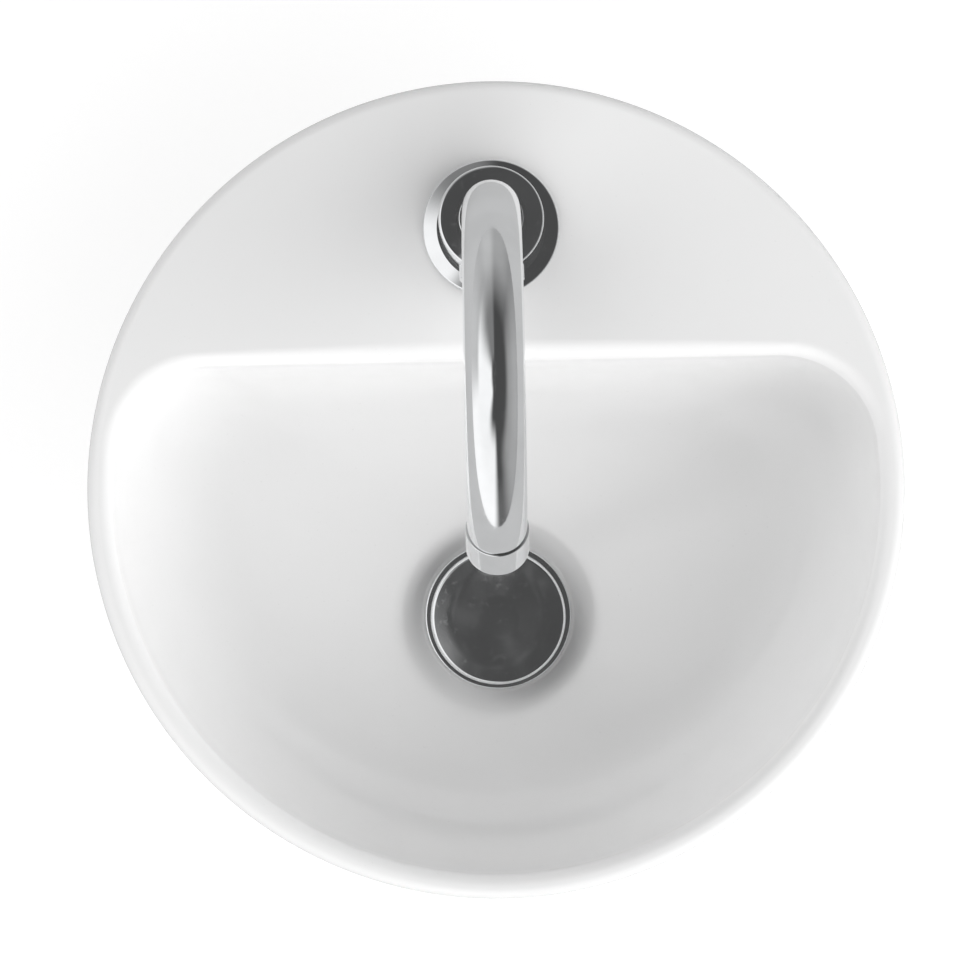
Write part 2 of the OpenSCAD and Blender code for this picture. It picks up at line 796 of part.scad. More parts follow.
module inlet_way(side) {
    translate([side * inlet_x, inlet_y, spigot_z - 1]) cylinder(r = inlet_r, h = inlet_depth + 1);
    translate([side * inlet_port_x, tap_y + waterway_back, spigot_z + inlet_depth - 6])
        cylinder(r = waterway_r, h = cartridge_z - inlet_port_drop - spigot_z - inlet_depth + 6);
    at_cartridge(-waterway_back) translate([side * inlet_port_x, -inlet_port_drop, 0])
        cylinder(r = inlet_port_r, h = waterway_back - chamber_back + 1);
}

module outlet_way() {
    at_cartridge(-waterway_back) translate([0, outlet_port_rise, 0])
        cylinder(r = waterway_r, h = waterway_back - chamber_back + 1);
    translate([0, tap_y + waterway_back, cartridge_z + outlet_port_rise - 1])
        cylinder(r = waterway_r, h = socket_z - cartridge_z - outlet_port_rise + 2);
}

module tap_body() {
    color(chrome_colour) difference() {
        union() {
            at_tap() lathe([
                [0, spigot_z, 0],
                [spigot_r, spigot_z, 0],
                [spigot_r, tap_foot_z, 0],
                [tap_body_r, tap_foot_z, 0],
                [tap_body_r, tap_top_z, 1.2],
                [0, tap_top_z, 0]
            ]);
            at_cartridge(0) cylinder(r = boss_r, h = boss_face);
        }
        at_cartridge(-chamber_back) cylinder(r = chamber_r, h = chamber_back + boss_face + 1);
        at_tap() translate([0, 0, socket_z]) cylinder(r = socket_r, h = socket_d + 1);
        for (side = [-1, 1])
            inlet_way(side);
        outlet_way();
        translate([0, stud_y, spigot_z - 1]) cylinder(r = stud_r + thread_gap, h = stud_in + 1);
    }
}

module fixing_stud() {
    color(steel_colour) translate([0, stud_y, basin_h - stud_drop])
        lathe([
            [0, 0, 0],
            [stud_r, 0, 0.8],
            [stud_r, stud_drop - spigot_drop + stud_in, 0],
            [0, stud_drop - spigot_drop + stud_in, 0]
        ]);
}

// A washer plate that is open at the back, where the hoses pass.
module horseshoe(r, z, t) {
    translate([0, tap_y, z]) difference() {
        cylinder(r = r, h = t);
        translate([-horseshoe_gap / 2, -stud_front + stud_r + 3, -1])
            cube([horseshoe_gap, r + stud_front, t + 2]);
        translate([0, -stud_front, -1]) cylinder(r = stud_r + thread_gap, h = t + 2);
    }
}

module rubber_horseshoe() {
    color(rubber_colour) horseshoe(horseshoe_r, deck_under_z - rubber_horseshoe_t, rubber_horseshoe_t);
}

module metal_horseshoe() {
    color(steel_colour)
        horseshoe(horseshoe_r - 1, deck_under_z - rubber_horseshoe_t - metal_horseshoe_t, metal_horseshoe_t);
}

module fixing_nut() {
    hex_r = stud_nut_af / 2 / cos(30);
    color(brass_colour)
        translate([0, stud_y, deck_under_z - rubber_horseshoe_t - metal_horseshoe_t - stud_nut_l])
            difference() {
                cylinder(r = hex_r, h = stud_nut_l, $fn = 6);
                translate([0, 0, -1]) cylinder(r = stud_r + thread_gap, h = stud_nut_l + 2);
            }
}

module ports(h) {
    for (side = [-1, 1])
        translate([side * inlet_port_x, -inlet_port_drop, -1]) cylinder(r = inlet_port_r, h = h + 2);
    translate([0, outlet_port_rise, -1]) cylinder(r = waterway_r, h = h + 2);
}

module port_seats(r, h) {
    for (side = [-1, 1])
        translate([side * inlet_port_x, -inlet_port_drop, 0]) cylinder(r = r, h = h);
    translate([0, outlet_port_rise, 0]) cylinder(r = r, h = h);
}

module cartridge_base() {
    color(plastic_colour) at_cartridge(-chamber_back) difference() {
        cylinder(r = cartridge_r, h = cartridge_base_t);
        ports(cartridge_base_t);
        translate([0, 0, -1]) port_seats(waterway_r + 1.2, seal_t + 1);
    }
}

module cartridge_seals() {
    color(rubber_colour) at_cartridge(-chamber_back) difference() {
        port_seats(waterway_r + 1, seal_t);
        translate([0, 0, -1]) ports(2);
    }
}

module cartridge_housing() {
    web_bore_r = stem_r + 1.7 + (web_front - pivot_t) * sin(lever_lift - stem_droop);
    color(plastic_colour) at_cartridge(space_floor) difference() {
        cylinder(r = cartridge_r, h = cartridge_space_l + cartridge_web_t);
        translate([0, 0, -1]) cylinder(r = cavity_r, h = cartridge_space_l + 1);
        translate([0, 0, cartridge_space_l - 1]) cylinder(r = web_bore_r, h = cartridge_web_t + 2);
    }
}

module fixed_disc() {
    color("white") at_cartridge(space_floor) difference() {
        cylinder(r = cavity_r - thread_gap, h = disc_t);
        ports(disc_t);
    }
}

// The moving disc joins the ports through a hollow in its back face.
module moving_disc() {
    hollow_w = 2 * inlet_port_x;
    hollow_bottom = inlet_port_r - inlet_port_drop + 0.6;
    color("white") at_cartridge(moving_disc_at) difference() {
        translate([0, disc_shift, 0]) cylinder(r = moving_disc_r, h = disc_t);
        translate([-hollow_w / 2, hollow_bottom, -1])
            cube([hollow_w, outlet_port_rise + 1.5 - hollow_bottom, 1 + disc_t * 0.4]);
    }
}

module disc_carrier() {
    pocket = 2 * (tail_ball_r + pass_gap);
    color(plastic_colour) at_cartridge(carrier_at) translate([0, disc_shift, 0]) difference() {
        cylinder(r = moving_disc_r, h = carrier_t);
        translate([-pocket / 2, -pocket / 2, -1]) cube([pocket, pocket, carrier_t + 2]);
    }
}

module cartridge_rotor() {
    back = carrier_front + 0.5;
    length = web_back - pass_gap - back;
    slot_down = stem_r + 0.8 + (web_back - pivot_t) * sin(stem_droop);
    slot_up = stem_r + 0.8 + (web_back - pivot_t) * sin(lever_lift - stem_droop);
    color(plastic_colour) at_cartridge(back) difference() {
        cylinder(r = cavity_r - thread_gap, h = length);
        translate([-stem_r - pass_gap, -slot_down, -1])
            cube([2 * (stem_r + pass_gap), slot_down + slot_up, length + 2]);
        translate([0, 0, pivot_t - back]) rotate([0, 90, 0])
            cylinder(r = pivot_pin_r + thread_gap, h = 3 * cavity_r, center = true);
    }
}

module pivot_pin() {
    color(steel_colour) at_cartridge(pivot_t) rotate([0, 90, 0])
        cylinder(r = pivot_pin_r, h = 2 * (cavity_r - 0.6), center = true);
}

module cartridge_nut() {
    color(brass_colour) at_cartridge(web_front) difference() {
        cylinder(r = chamber_r - thread_gap, h = cartridge_nut_l);
        translate([0, 0, -1]) cylinder(r = bonnet_bore_r + 1.2, h = cartridge_nut_l + 2, $fn = 6);
    }
}

module bonnet_ring() {
    spigot_l = boss_face - web_front - cartridge_nut_l - 0.1;
    color(chrome_colour) at_cartridge(boss_face) difference() {
        lathe([
            [0, -spigot_l, 0],
            [chamber_r - thread_gap, -spigot_l, 0],
            [chamber_r - thread_gap, 0, 0],
            [boss_r, 0, 0],
            [boss_r, 1, 0.8],
            [bonnet_front_r, bonnet_l, 1],
            [0, bonnet_l, 0]
        ]);
        translate([0, 0, -spigot_l - 1]) cylinder(r = bonnet_bore_r, h = spigot_l + bonnet_l + 2);
    }
}

// The lever's own frame: its pivot is the origin, Z runs forward along the stem and Y is up.
module at_lever() {
    at_cartridge(pivot_t) rotate([stem_droop, 0, 0]) children();
}

module lever_stem() {
    color(brass_colour) at_lever() difference() {
        union() {
            translate([0, 0, -tail_l]) sphere(r = tail_ball_r);
            translate([0, 0, -tail_l]) cylinder(r = tail_ball_r - 0.4, h = tail_l);
            translate([0, 0, -tail_l + tail_ball_r])
                cylinder(r = stem_r, h = tail_l - tail_ball_r + hub_d + hub_bore_d);
        }
        rotate([0, 90, 0]) cylinder(r = pivot_pin_r + thread_gap, h = 3 * stem_r, center = true);
    }
}

// The pin lever's frame: its root is inside the hub, clear of the stem, and Z runs along the pin.
module at_pin() {
    at_lever() translate([0, pin_root_up, hub_d + hub_bore_d + pin_root_gap])
        rotate([-pin_rise, 0, 0]) children();
}

module lever_hub() {
    color(chrome_colour) difference() {
        at_lever() translate([0, 0, hub_d]) lathe([
            [0, 0, 0],
            [hub_r, 0, 1.5],
            [hub_r, hub_l - hub_nose_h, hub_nose_r],
            [0, hub_l, 0]
        ]);
        at_lever() translate([0, 0, hub_d - 1]) cylinder(r = stem_r + thread_gap, h = hub_bore_d + 1);
        at_lever() translate([0, 0, hub_d + hub_bore_d / 2]) rotate([90, 0, 0])
            cylinder(r = grub_r + thread_gap, h = hub_r + 1);
        at_pin() cylinder(r = pin_r + thread_gap, h = hub_l);
    }
}

module grub_screw() {
    length = hub_r - stem_r - 0.6;
    color(steel_colour) at_lever() translate([0, 0, hub_d + hub_bore_d / 2]) rotate([90, 0, 0])
        translate([0, 0, stem_r]) difference() {
            cylinder(r = grub_r, h = length);
            translate([0, 0, length - 2]) cylinder(r = grub_r * 0.6, h = 3, $fn = 6);
        }
}

module pin_lever() {
    color(chrome_colour) at_pin() lathe([
        [0, 0, 0],
        [pin_r, 0, 0],
        [pin_r, pin_l, pin_r * 0.98],
        [0, pin_l, 0]
    ]);
}

module spout_collar() {
    color(chrome_colour) at_tap() difference() {
        lathe([
            [0, slip_ring_z + thread_gap, 0],
            [socket_r - thread_gap, slip_ring_z + thread_gap, 0],
            [socket_r - thread_gap, tap_top_z, 0],
            [collar_r, tap_top_z, 0],
            [collar_r, tap_top_z + collar_h, 0.4],
            [0, tap_top_z + collar_h, 0]
        ]);
        translate([0, 0, slip_ring_z - 1])
            cylinder(r = spout_r + pass_gap, h = tap_top_z + collar_h - slip_ring_z + 2);
    }
}

function ring_z(i) = shank_z + plenum_h + spout_ring_up + spout_ring_r + i * spout_ring_pitch;

module spout_shank() {
    shank_r = socket_r - thread_gap;
    color(brass_colour) at_tap() difference() {
        union() {
            translate([0, 0, shank_z]) cylinder(r = shank_r, h = shank_h);
            translate([0, 0, shank_z])
                cylinder(r = spout_r - spout_t - thread_gap, h = shank_h + shank_neck_l);
        }
        translate([0, 0, shank_z - 1]) cylinder(r = plenum_r, h = plenum_h + 1);
        translate([0, 0, shank_z]) cylinder(r = shank_bore_r, h = shank_h + shank_neck_l + 1);
        for (i = [0, 1])
            ring(
                shank_r + 1,
                shank_r - 2 * spout_ring_r - thread_gap,
                ring_z(i) - spout_ring_r - thread_gap,
                2 * (spout_ring_r + thread_gap)
            );
    }
}

module spout_seal_rings() {
    color(rubber_colour) at_tap() for (i = [0, 1])
        translate([0, 0, ring_z(i)]) rotate_extrude()
            translate([socket_r - thread_gap - spout_ring_r, 0]) circle(r = spout_ring_r, $fn = 24);
}

module spout_slip_ring() {
    color(plastic_colour) at_tap()
        ring(socket_r - thread_gap, spout_r + thread_gap, shoulder_z, slip_ring_t);
}

// A riser that runs on into an arch in the YZ plane.
module spout_tube() {
    color(chrome_colour) union() {
        at_tap() ring(spout_r, spout_r - spout_t, shoulder_z, riser_z - shoulder_z);
        translate([0, arch_y, riser_z]) rotate([90, 0, 90]) rotate_extrude(angle = arch_a)
            translate([arch_r, 0]) difference() {
                circle(r = spout_r);
                circle(r = spout_r - spout_t);
            }
    }
}

// The outlet's frame: its origin is the centre of the tube's end and Z runs out of the spout.
module at_outlet() {
    translate([0, arch_y + arch_r * cos(arch_a), riser_z + arch_r * sin(arch_a)])
        rotate([arch_a, 0, 0]) children();
}

module tip_sleeve() {
    thread_r = spout_r - spout_t - thread_gap;
    color(brass_colour) at_outlet() difference() {
        lathe([
            [0, -sleeve_in_l, 0],
            [spout_r - spout_t - pass_gap, -sleeve_in_l, 0],
            [spout_r - spout_t - pass_gap, 0, 0],
            [spout_r - sleeve_collar_step, 0, 0],
            [spout_r - sleeve_collar_step, sleeve_collar_t, 0],
            [thread_r, sleeve_collar_t, 0],
            [thread_r, sleeve_out_l, 0],
            [0, sleeve_out_l, 0]
        ]);
        translate([0, 0, -sleeve_in_l - 1]) cylinder(r = sleeve_bore_r, h = sleeve_in_l + sleeve_out_l + 2);
    }
}

module aerator_washer() {
    color(rubber_colour) at_outlet()
        ring(spout_r - spout_t - thread_gap, sleeve_bore_r - 1, sleeve_out_l, aerator_washer_t);
}

module aerator_insert() {
    rim_r_in = spout_r - spout_t - thread_gap;
    body_r = aerator_mouth_r - thread_gap;
    cells = floor(body_r / grid_pitch);
    color(plastic_colour) at_outlet() translate([0, 0, sleeve_out_l + aerator_washer_t]) difference() {
        union() {
            cylinder(r = rim_r_in, h = insert_rim_t);
            cylinder(r = body_r, h = insert_rim_t + insert_l);
        }
        for (i = [-cells:cells], j = [-cells:cells])
            if (norm([i, j]) * grid_pitch + grid_hole * 0.71 < body_r - 0.8)
                translate([i * grid_pitch - grid_hole / 2, j * grid_pitch - grid_hole / 2, -1])
                    cube([grid_hole, grid_hole, insert_rim_t + insert_l + 2]);
    }
}

module aerator_housing() {
    ledge = sleeve_out_l + aerator_washer_t + insert_rim_t;
    color(chrome_colour) at_outlet() difference() {
        lathe([
            [0, 0, 0],
            [aerator_r, 0, 0.5],
            [aerator_r, aerator_l, 0.8],
            [0, aerator_l, 0]
        ]);
        translate([0, 0, -1]) cylinder(
            r = spout_r - sleeve_collar_step + thread_gap,
            h = sleeve_collar_t + thread_gap + 1
        );
        translate([0, 0, -1]) cylinder(r = spout_r - spout_t, h = ledge + 1);
        translate([0, 0, -1]) cylinder(r = aerator_mouth_r, h = aerator_l + 2);
    }
}

basin();
waste_body();
waste_flange_gasket();
waste_outlet_washer();
waste_slip_washer();
waste_backnut();
click_housing();
click_spring();
click_plunger();
waste_cap();
waste_cap_seal();
tap_gasket();
tap_base_flange();
tap_body();
fixing_stud();
rubber_horseshoe();
metal_horseshoe();
fixing_nut();
cartridge_base();
cartridge_seals();
cartridge_housing();
fixed_disc();
moving_disc();
disc_carrier();
cartridge_rotor();
pivot_pin();
cartridge_nut();
bonnet_ring();
lever_stem();
lever_hub();
grub_screw();
pin_lever();
spout_collar();
spout_shank();
spout_seal_rings();
spout_slip_ring();
spout_tube();
tip_sleeve();
aerator_washer();
aerator_insert();
aerator_housing();
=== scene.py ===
import json
import math

import bmesh
import bpy
from bpy.props import FloatProperty, FloatVectorProperty, IntProperty, PointerProperty
from mathutils import Matrix, Vector


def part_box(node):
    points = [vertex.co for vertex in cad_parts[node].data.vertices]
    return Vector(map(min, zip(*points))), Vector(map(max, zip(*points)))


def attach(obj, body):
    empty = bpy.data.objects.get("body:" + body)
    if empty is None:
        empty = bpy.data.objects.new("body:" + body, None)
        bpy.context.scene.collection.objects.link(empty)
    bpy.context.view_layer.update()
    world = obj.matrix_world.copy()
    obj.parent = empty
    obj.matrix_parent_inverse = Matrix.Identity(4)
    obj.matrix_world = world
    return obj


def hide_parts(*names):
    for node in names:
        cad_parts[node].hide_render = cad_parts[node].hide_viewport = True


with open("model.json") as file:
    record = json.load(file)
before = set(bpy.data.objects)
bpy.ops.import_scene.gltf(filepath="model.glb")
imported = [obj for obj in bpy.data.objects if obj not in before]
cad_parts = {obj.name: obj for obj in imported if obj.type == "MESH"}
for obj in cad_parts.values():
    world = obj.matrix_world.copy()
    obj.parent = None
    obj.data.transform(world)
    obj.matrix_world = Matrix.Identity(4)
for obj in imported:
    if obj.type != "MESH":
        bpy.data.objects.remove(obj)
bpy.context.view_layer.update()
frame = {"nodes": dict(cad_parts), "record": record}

bl_info = {
    "name": "Round washbasin with a swivel-spout tap",
    "version": (1, 0, 0),
    "blender": (4, 5, 0),
    "location": "3D View > Sidebar > Washbasin",
    "description": "Makes the basin, its tap, its push waste and the studio around them",
    "category": "Mesh",
}

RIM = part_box("basin")[1]
TAP_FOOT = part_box("tap_base_flange")
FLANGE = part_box("waste_body")
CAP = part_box("waste_cap")
COLUMNS = 384
AROUND = 128

# Sizes in metres that follow from the parts that fit together, and aren't a matter of taste
FIT = 0.00005
SLIP = 0.0003
CAP_BORE = 0.00405
STEM_HOLE = 0.00325
STEM_DEPTH = 0.0065
SCREW_HOLE = 0.00205


def length(label, default, note):
    """A size in metres."""
    return FloatProperty(name=label, description=note, default=default, min=0.0, unit="LENGTH", precision=5)


def turn(label, default, note):
    """An angle, given in degrees and kept in radians."""
    return FloatProperty(name=label, description=note, default=math.radians(default), subtype="ANGLE")


def share(label, default, note):
    """A plain number from 0 to 1."""
    return FloatProperty(name=label, description=note, default=default, min=0.0, max=1.0)


def colour(label, default, note):
    """A surface colour."""
    return FloatVectorProperty(
        name=label, description=note, default=default, size=3, min=0.0, max=1.0, subtype="COLOR"
    )


class BasinSizes(bpy.types.PropertyGroup):
    rim: length("Rim radius", RIM.x, "Outer radius of the round rim")
    top: length("Height", RIM.z, "Height from the foot to the rim")
    band: length("Rim band", 0.0115, "Width of the rim between its outer face and the bowl wall")
    edge: length("Outer edge", 0.005, "Rounding of the rim's outer edge")
    lip: length("Lip at the rim", 0.0055, "Rounding of the bowl's edge at the rim")
    ledge_lip: length("Lip at the ledge", 0.0095, "Rounding of the bowl's edge at the ledge")
    lean: turn("Wall lean", 6, "Inward lean of the bowl wall at its top")
    ledge: length("Ledge", 0.060, "Distance from the centre to the bowl's straight back wall")
    corner: length("Bowl corners", 0.045, "Corner radius of the bowl at its top")
    floor: length("Floor radius", 0.129, "Radius of the floor's outline")
    floor_back: length("Floor back", 0.028, "Distance from the centre to the back of the floor")
    floor_corner: length("Floor corners", 0.035, "Corner radius of the floor's outline")
    floor_height: length("Floor height", 0.062, "Height of the floor's outline at the front")
    tilt: share("Floor tilt", 0.09, "Rise of the floor's outline towards the back")
    waste: length("Waste distance", 0.062, "Distance of the waste in front of the centre")
    recess: length("Recess radius", 0.049, "Radius of the waste recess at the floor")
    recess_height: length("Recess height", 0.0577, "Height of the floor at the waste recess")
    seat: length("Seat radius", 0.0375, "Radius of the flat seat in the recess")
    seat_height: length("Seat height", 0.049, "Height of the flat seat in the recess")
    hole: length("Waste hole", 0.023, "Radius of the waste hole")
    boss: length("Waste boss", 0.050, "Radius of the boss under the waste")
    boss_height: length("Boss height", 0.030, "Height of the boss's underside")
    skin: length("Thickness", 0.009, "Thickness of the bowl")
    wall: length("Outer side", 0.011, "Thickness of the outer side")
    ledge_under: length("Under the ledge", 0.136, "Height of the ledge's underside")
    side: length("Upright band", 0.105, "Height at which the outer side starts to slope in")
    taper: turn("Taper", 12, "Inward slope of the outer side")
    foot_edge: length("Bottom edge", 0.012, "Rounding of the bottom edge")
    foot: length("Foot ring", 0.016, "Width of the flat foot ring")
    tap: length("Tap distance", 0.121, "Distance of the tap hole behind the centre")
    tap_hole: length("Tap hole", 0.0175, "Radius of the tap hole")


class WasteSizes(bpy.types.PropertyGroup):
    flange: length("Flange radius", FLANGE[1].x, "Outer radius of the waste flange")
    flange_under: length("Flange underside", 0.050, "Height of the flange's underside")
    flange_top: length("Flange top", FLANGE[1].z, "Height of the flange's flat land")
    land: length("Land", 0.011, "Width of the flat land round the flange")
    dish: length("Dish", 0.0018, "Depth of the dish inside the land")
    bore: length("Bore", 0.0175, "Radius of the waste's bore")
    tail: length("Tail", FLANGE[0].z, "Height of the tail's end")
    thread: length("Thread radius", 0.020955, "Outer radius of the pipe thread")
    pitch: length("Thread pitch", 0.002309, "Distance between two turns of the pipe thread")
    threaded: length("Threaded length", 0.038, "Length of the tail that is threaded")
    hub: length("Hub bore", 0.00905, "Bore radius of the hub that holds the click mechanism")
    hub_top: length("Hub top", 0.038, "Height of the hub's top")
    hub_height: length("Hub height", 0.008, "Height of the hub")
    arms: IntProperty(name="Arms", description="Arms that carry the hub", default=3, min=2, max=6)
    cap: length("Cap radius", CAP[1].x, "Radius of the push cap")
    cap_under: length("Cap underside", 0.06305, "Height of the cap's underside")
    cap_top: length("Cap top", CAP[1].z, "Height of the middle of the cap")
    cap_boss: length("Cap boss", 0.0065, "Radius of the cap's boss")
    cap_boss_under: length("Cap boss end", CAP[0].z, "Height of the boss's end")


class TapSizes(bpy.types.PropertyGroup):
    flange: length("Flange radius", TAP_FOOT[1].x, "Outer radius of the base flange")
    seat: length("Seat height", TAP_FOOT[0].z, "Height of the flange's underside")
    edge: length("Flange edge", 0.006, "Height of the flange's upright edge")
    foot: length("Body foot", TAP_FOOT[1].z, "Height of the flange's top, where the body stands")
    body: length("Body radius", 0.0236, "Radius of the tap body")
    top: length("Body top", 0.212, "Height of the tap body's top")
    spigot: length("Spigot radius", 0.0165, "Radius of the spigot in the tap hole")
    spigot_under: length("Spigot end", 0.140, "Height of the spigot's end")
    socket: length("Socket radius", 0.0155, "Bore of the socket that the spout turns in")
    socket_floor: length("Socket floor", 0.197, "Height of the socket's floor")
    axis: length("Cartridge axis", 0.181, "Height of the cartridge's axis")
    boss: length("Boss radius", 0.0148, "Radius of the boss round the cartridge")
    boss_face: length("Boss face", 0.0245, "Distance of the boss's face in front of the tap's axis")
    chamber: length("Chamber radius", 0.01275, "Bore of the cartridge chamber")
    chamber_back: length("Chamber floor", 0.008, "Distance of the chamber's floor behind the axis")
    stud: length("Stud radius", 0.004, "Radius of the fixing stud")
    stud_front: length("Stud distance", 0.010, "Distance of the stud in front of the tap's axis")
    inlet: length("Inlet radius", 0.005, "Radius of the two hose inlets")
    inlet_apart: length("Inlet distance", 0.008, "Half the distance between the two inlets")
    inlet_back: length("Inlets behind", 0.0065, "Distance of the inlets behind the tap's axis")
    pivot: length("Pivot", 0.0095, "Distance of the lever's pivot in front of the tap's axis")
    droop: turn("Droop", 8, "Droop of the lever's stem when the tap is shut")
    hub: length("Hub radius", 0.009, "Radius of the lever's hub")
    hub_from: length("Hub distance", 0.0225, "Distance from the pivot to the hub")
    hub_length: length("Hub length", 0.0145, "Length of the lever's hub")
    pin: length("Pin radius", 0.00325, "Radius of the pin lever")
    pin_length: length("Pin length", 0.052, "Length of the pin lever")
    pin_rise: turn("Pin rise", 25, "Upward slope of the pin lever from the stem")
    bonnet_bore: length("Bonnet bore", 0.0096, "Radius of the opening in the bonnet ring")
    bonnet_face: length("Bonnet face", 0.004, "Height of the bonnet ring above the boss")
    bonnet_sunk: length("Bonnet sunk", 0.0014, "Depth of the bonnet ring's lip in the chamber")
    stud_pitch: length("Stud pitch", 0.00125, "Distance between two turns of the stud's thread")


class SpoutSizes(bpy.types.PropertyGroup):
    tube: length("Tube radius", 0.0127, "Outer radius of the spout tube")
    wall: length("Tube wall", 0.001, "Wall of the spout tube")
    foot: length("Foot", 0.2073, "Height of the tube's foot in the socket")
    riser: length("Riser", 0.260, "Height at which the arch starts")
    arch: length("Arch radius", 0.0735, "Radius of the spout's arch")
    arch_turn: turn("Arch turn", 150, "Turn of the arch")
    collar: length("Collar radius", 0.0144, "Radius of the collar's neck")
    collar_foot: length("Collar foot", 0.20855, "Height of the collar's end in the socket")
    collar_top: length("Collar top", 0.214, "Height of the collar's top")
    aerator: length("Aerator radius", 0.0135, "Outer radius of the aerator housing")
    aerator_length: length("Aerator length", 0.017, "Length of the aerator housing")
    mouth: length("Mouth radius", 0.0106, "Radius of the aerator housing's mouth")
    recess: length("Collar recess", 0.00105, "Depth of the housing's recess for the sleeve's collar")
    recess_step: length("Recess step", 0.00015, "How much narrower than the tube that recess is")
    shoulder: length("Shoulder", 0.0092, "Distance of the shoulder that holds the aerator")


class Finishes(bpy.types.PropertyGroup):
    glaze: colour("Glaze", (0.87, 0.87, 0.87), "Colour of the white glaze")
    clay: colour("Bare clay", (0.62, 0.58, 0.51), "Colour of the unglazed foot")
    chrome: colour("Chrome", (0.86, 0.87, 0.88), "Colour of the polished chrome")
    brass: colour("Brass", (0.72, 0.54, 0.26), "Colour of the machined brass")
    steel: colour("Steel", (0.55, 0.55, 0.56), "Colour of the zinc-plated and stainless steel")
    rubber: colour("Rubber", (0.025, 0.025, 0.027), "Colour of the seals")
    plastic: colour("Plastic", (0.72, 0.72, 0.69), "Colour of the moulded parts")
    disc: colour("Disc ceramic", (0.78, 0.76, 0.72), "Colour of the lapped ceramic discs")


class StudioSizes(bpy.types.PropertyGroup):
    camera_height: length("Camera height", 1.750, "Height of the camera above the foot")
    camera_x: FloatProperty(name="Camera X", description="Camera's place", default=-0.0028, unit="LENGTH")
    camera_y: FloatProperty(name="Camera Y", description="Camera's place", default=0.0, unit="LENGTH")
    camera_turn: turn("Camera turn", -1.1, "Turn of the camera about its own axis")
    lens: FloatProperty(name="Lens", description="Focal length on a 36 mm sensor", default=126.8)
    right: FloatProperty(name="Right", description="Low light from the right", default=5.2)
    front: FloatProperty(name="Front", description="Low light from the front", default=4.3)
    corner: FloatProperty(name="Front right", description="Higher light from the front right", default=2.8)
    left: FloatProperty(name="Left", description="Low light from the left", default=2.7)
    behind: FloatProperty(name="Back left", description="Higher light from the back left", default=2.5)
    lowered: turn("Low lights", 10, "Height of the low lights above the horizon")
    raised: turn("High lights", 40, "Height of the higher lights above the horizon")
    spread: FloatProperty(name="Spread", description="How narrow each light is", default=8.0)
    seen: FloatProperty(name="Floor seen", description="Glow of the floor to the camera", default=0.74)
    mirrored: FloatProperty(name="Floor mirrored", description="Its glow in the chrome", default=0.25)
    paint: share("Floor paint", 0.34, "Share of the light that the floor gives back")
    panel: FloatProperty(name="Panel", description="Bright panel at the left, in the chrome", default=1.25)
    window: FloatProperty(name="Window", description="Window at the right, in the chrome", default=0.36)


GROUPS = (
    ("washbasin_basin", BasinSizes),
    ("washbasin_waste", WasteSizes),
    ("washbasin_tap", TapSizes),
    ("washbasin_spout", SpoutSizes),
    ("washbasin_finishes", Finishes),
    ("washbasin_studio", StudioSizes),
)


class Value:
    """An output of a node. A sum written with it adds the Math node that does it."""

    def __init__(self, board, socket):
        self.board = board
        self.socket = socket

    def __getitem__(self, name):
        return Value(self.board, self.socket.node.outputs[name])

    def math(self, operation, *terms):
        return self.board.add("ShaderNodeMath", dict(enumerate(terms)), operation=operation)

    def __add__(self, other):
        return self.math("ADD", self, other)

    def __sub__(self, other):
        return self.math("SUBTRACT", self, other)

    def __rsub__(self, other):
        return self.math("SUBTRACT", other, self)

    def __mul__(self, other):
        return self.math("MULTIPLY", self, other)

    def __truediv__(self, other):
        return self.math("DIVIDE", self, other)

    __radd__ = __add__
    __rmul__ = __mul__

    def at_least(self, other):
        return self.math("MAXIMUM", self, other)

    def at_most(self, other):
        return self.math("MINIMUM", self, other)

    def sine(self):
        return self.math("SINE", self)

    def cosine(self):
        return self.math("COSINE", self)

    def root(self):
        return self.math("SQRT", self)

    def to_power(self, exponent):
        return self.math("POWER", self, exponent)

    def between(self, low, high):
        """0 below low, 1 above high and a soft step between them."""
        return self.board.add(
            "ShaderNodeMapRange",
            {"Value": self, "From Min": low, "From Max": high},
            interpolation_type="SMOOTHSTEP",
        )


class Board:
    """A node tree that nodes are added to."""

    def __init__(self, tree):
        self.tree = tree

    def add(self, kind, inputs=None, output=0, **settings):
        """Adds a node, with its settings first and then its values and links, and gives one output."""
        node = self.tree.nodes.new(kind)
        for name, value in settings.items():
            setattr(node, name, value)
        for key, value in (inputs or {}).items():
            if isinstance(value, Value):
                self.tree.links.new(value.socket, node.inputs[key])
            else:
                node.inputs[key].default_value = value
        return Value(self, node.outputs[output]) if node.outputs else node

    def noise(self, place, scale, detail=2.0, roughness=0.5):
        return self.add(
            "ShaderNodeTexNoise",
            {"Vector": place, "Scale": scale, "Detail": detail, "Roughness": roughness},
        )

    def stretched(self, place, x, y, z):
        """The coordinates with each axis scaled, so that a pattern is drawn out along the others."""
        return self.add(
            "ShaderNodeVectorMath", {0: place, 1: (x, y, z)}, operation="MULTIPLY"
        )

    def blend(self, factor, first, second):
        """A colour between two colours. The Mix node has a socket of each name for every kind of value."""
        node = self.tree.nodes.new("ShaderNodeMix")
        node.data_type = "RGBA"
        wires = {"Factor": factor, "A": rgba(first), "B": rgba(second)}
        for socket in node.inputs:
            if not socket.enabled or socket.name not in wires:
                continue
            value = wires[socket.name]
            if isinstance(value, Value):
                self.tree.links.new(value.socket, socket)
            else:
                socket.default_value = value
        return Value(self, next(s for s in node.outputs if s.enabled))


def rgba(shade):
    return shade if isinstance(shade, Value) else (*shade, 1.0)


def surface(name, **fixed):
    """A new material, its board, its shader and the Object coordinates on it."""
    material = bpy.data.materials.new(name)
    material.use_nodes = True
    board = Board(material.node_tree)
    shader = material.node_tree.nodes["Principled BSDF"]
    for key, value in fixed.items():
        shader.inputs[key.replace("_", " ")].default_value = value
    place = board.add("ShaderNodeTexCoord", output="Object")
    return material, board, shader, place


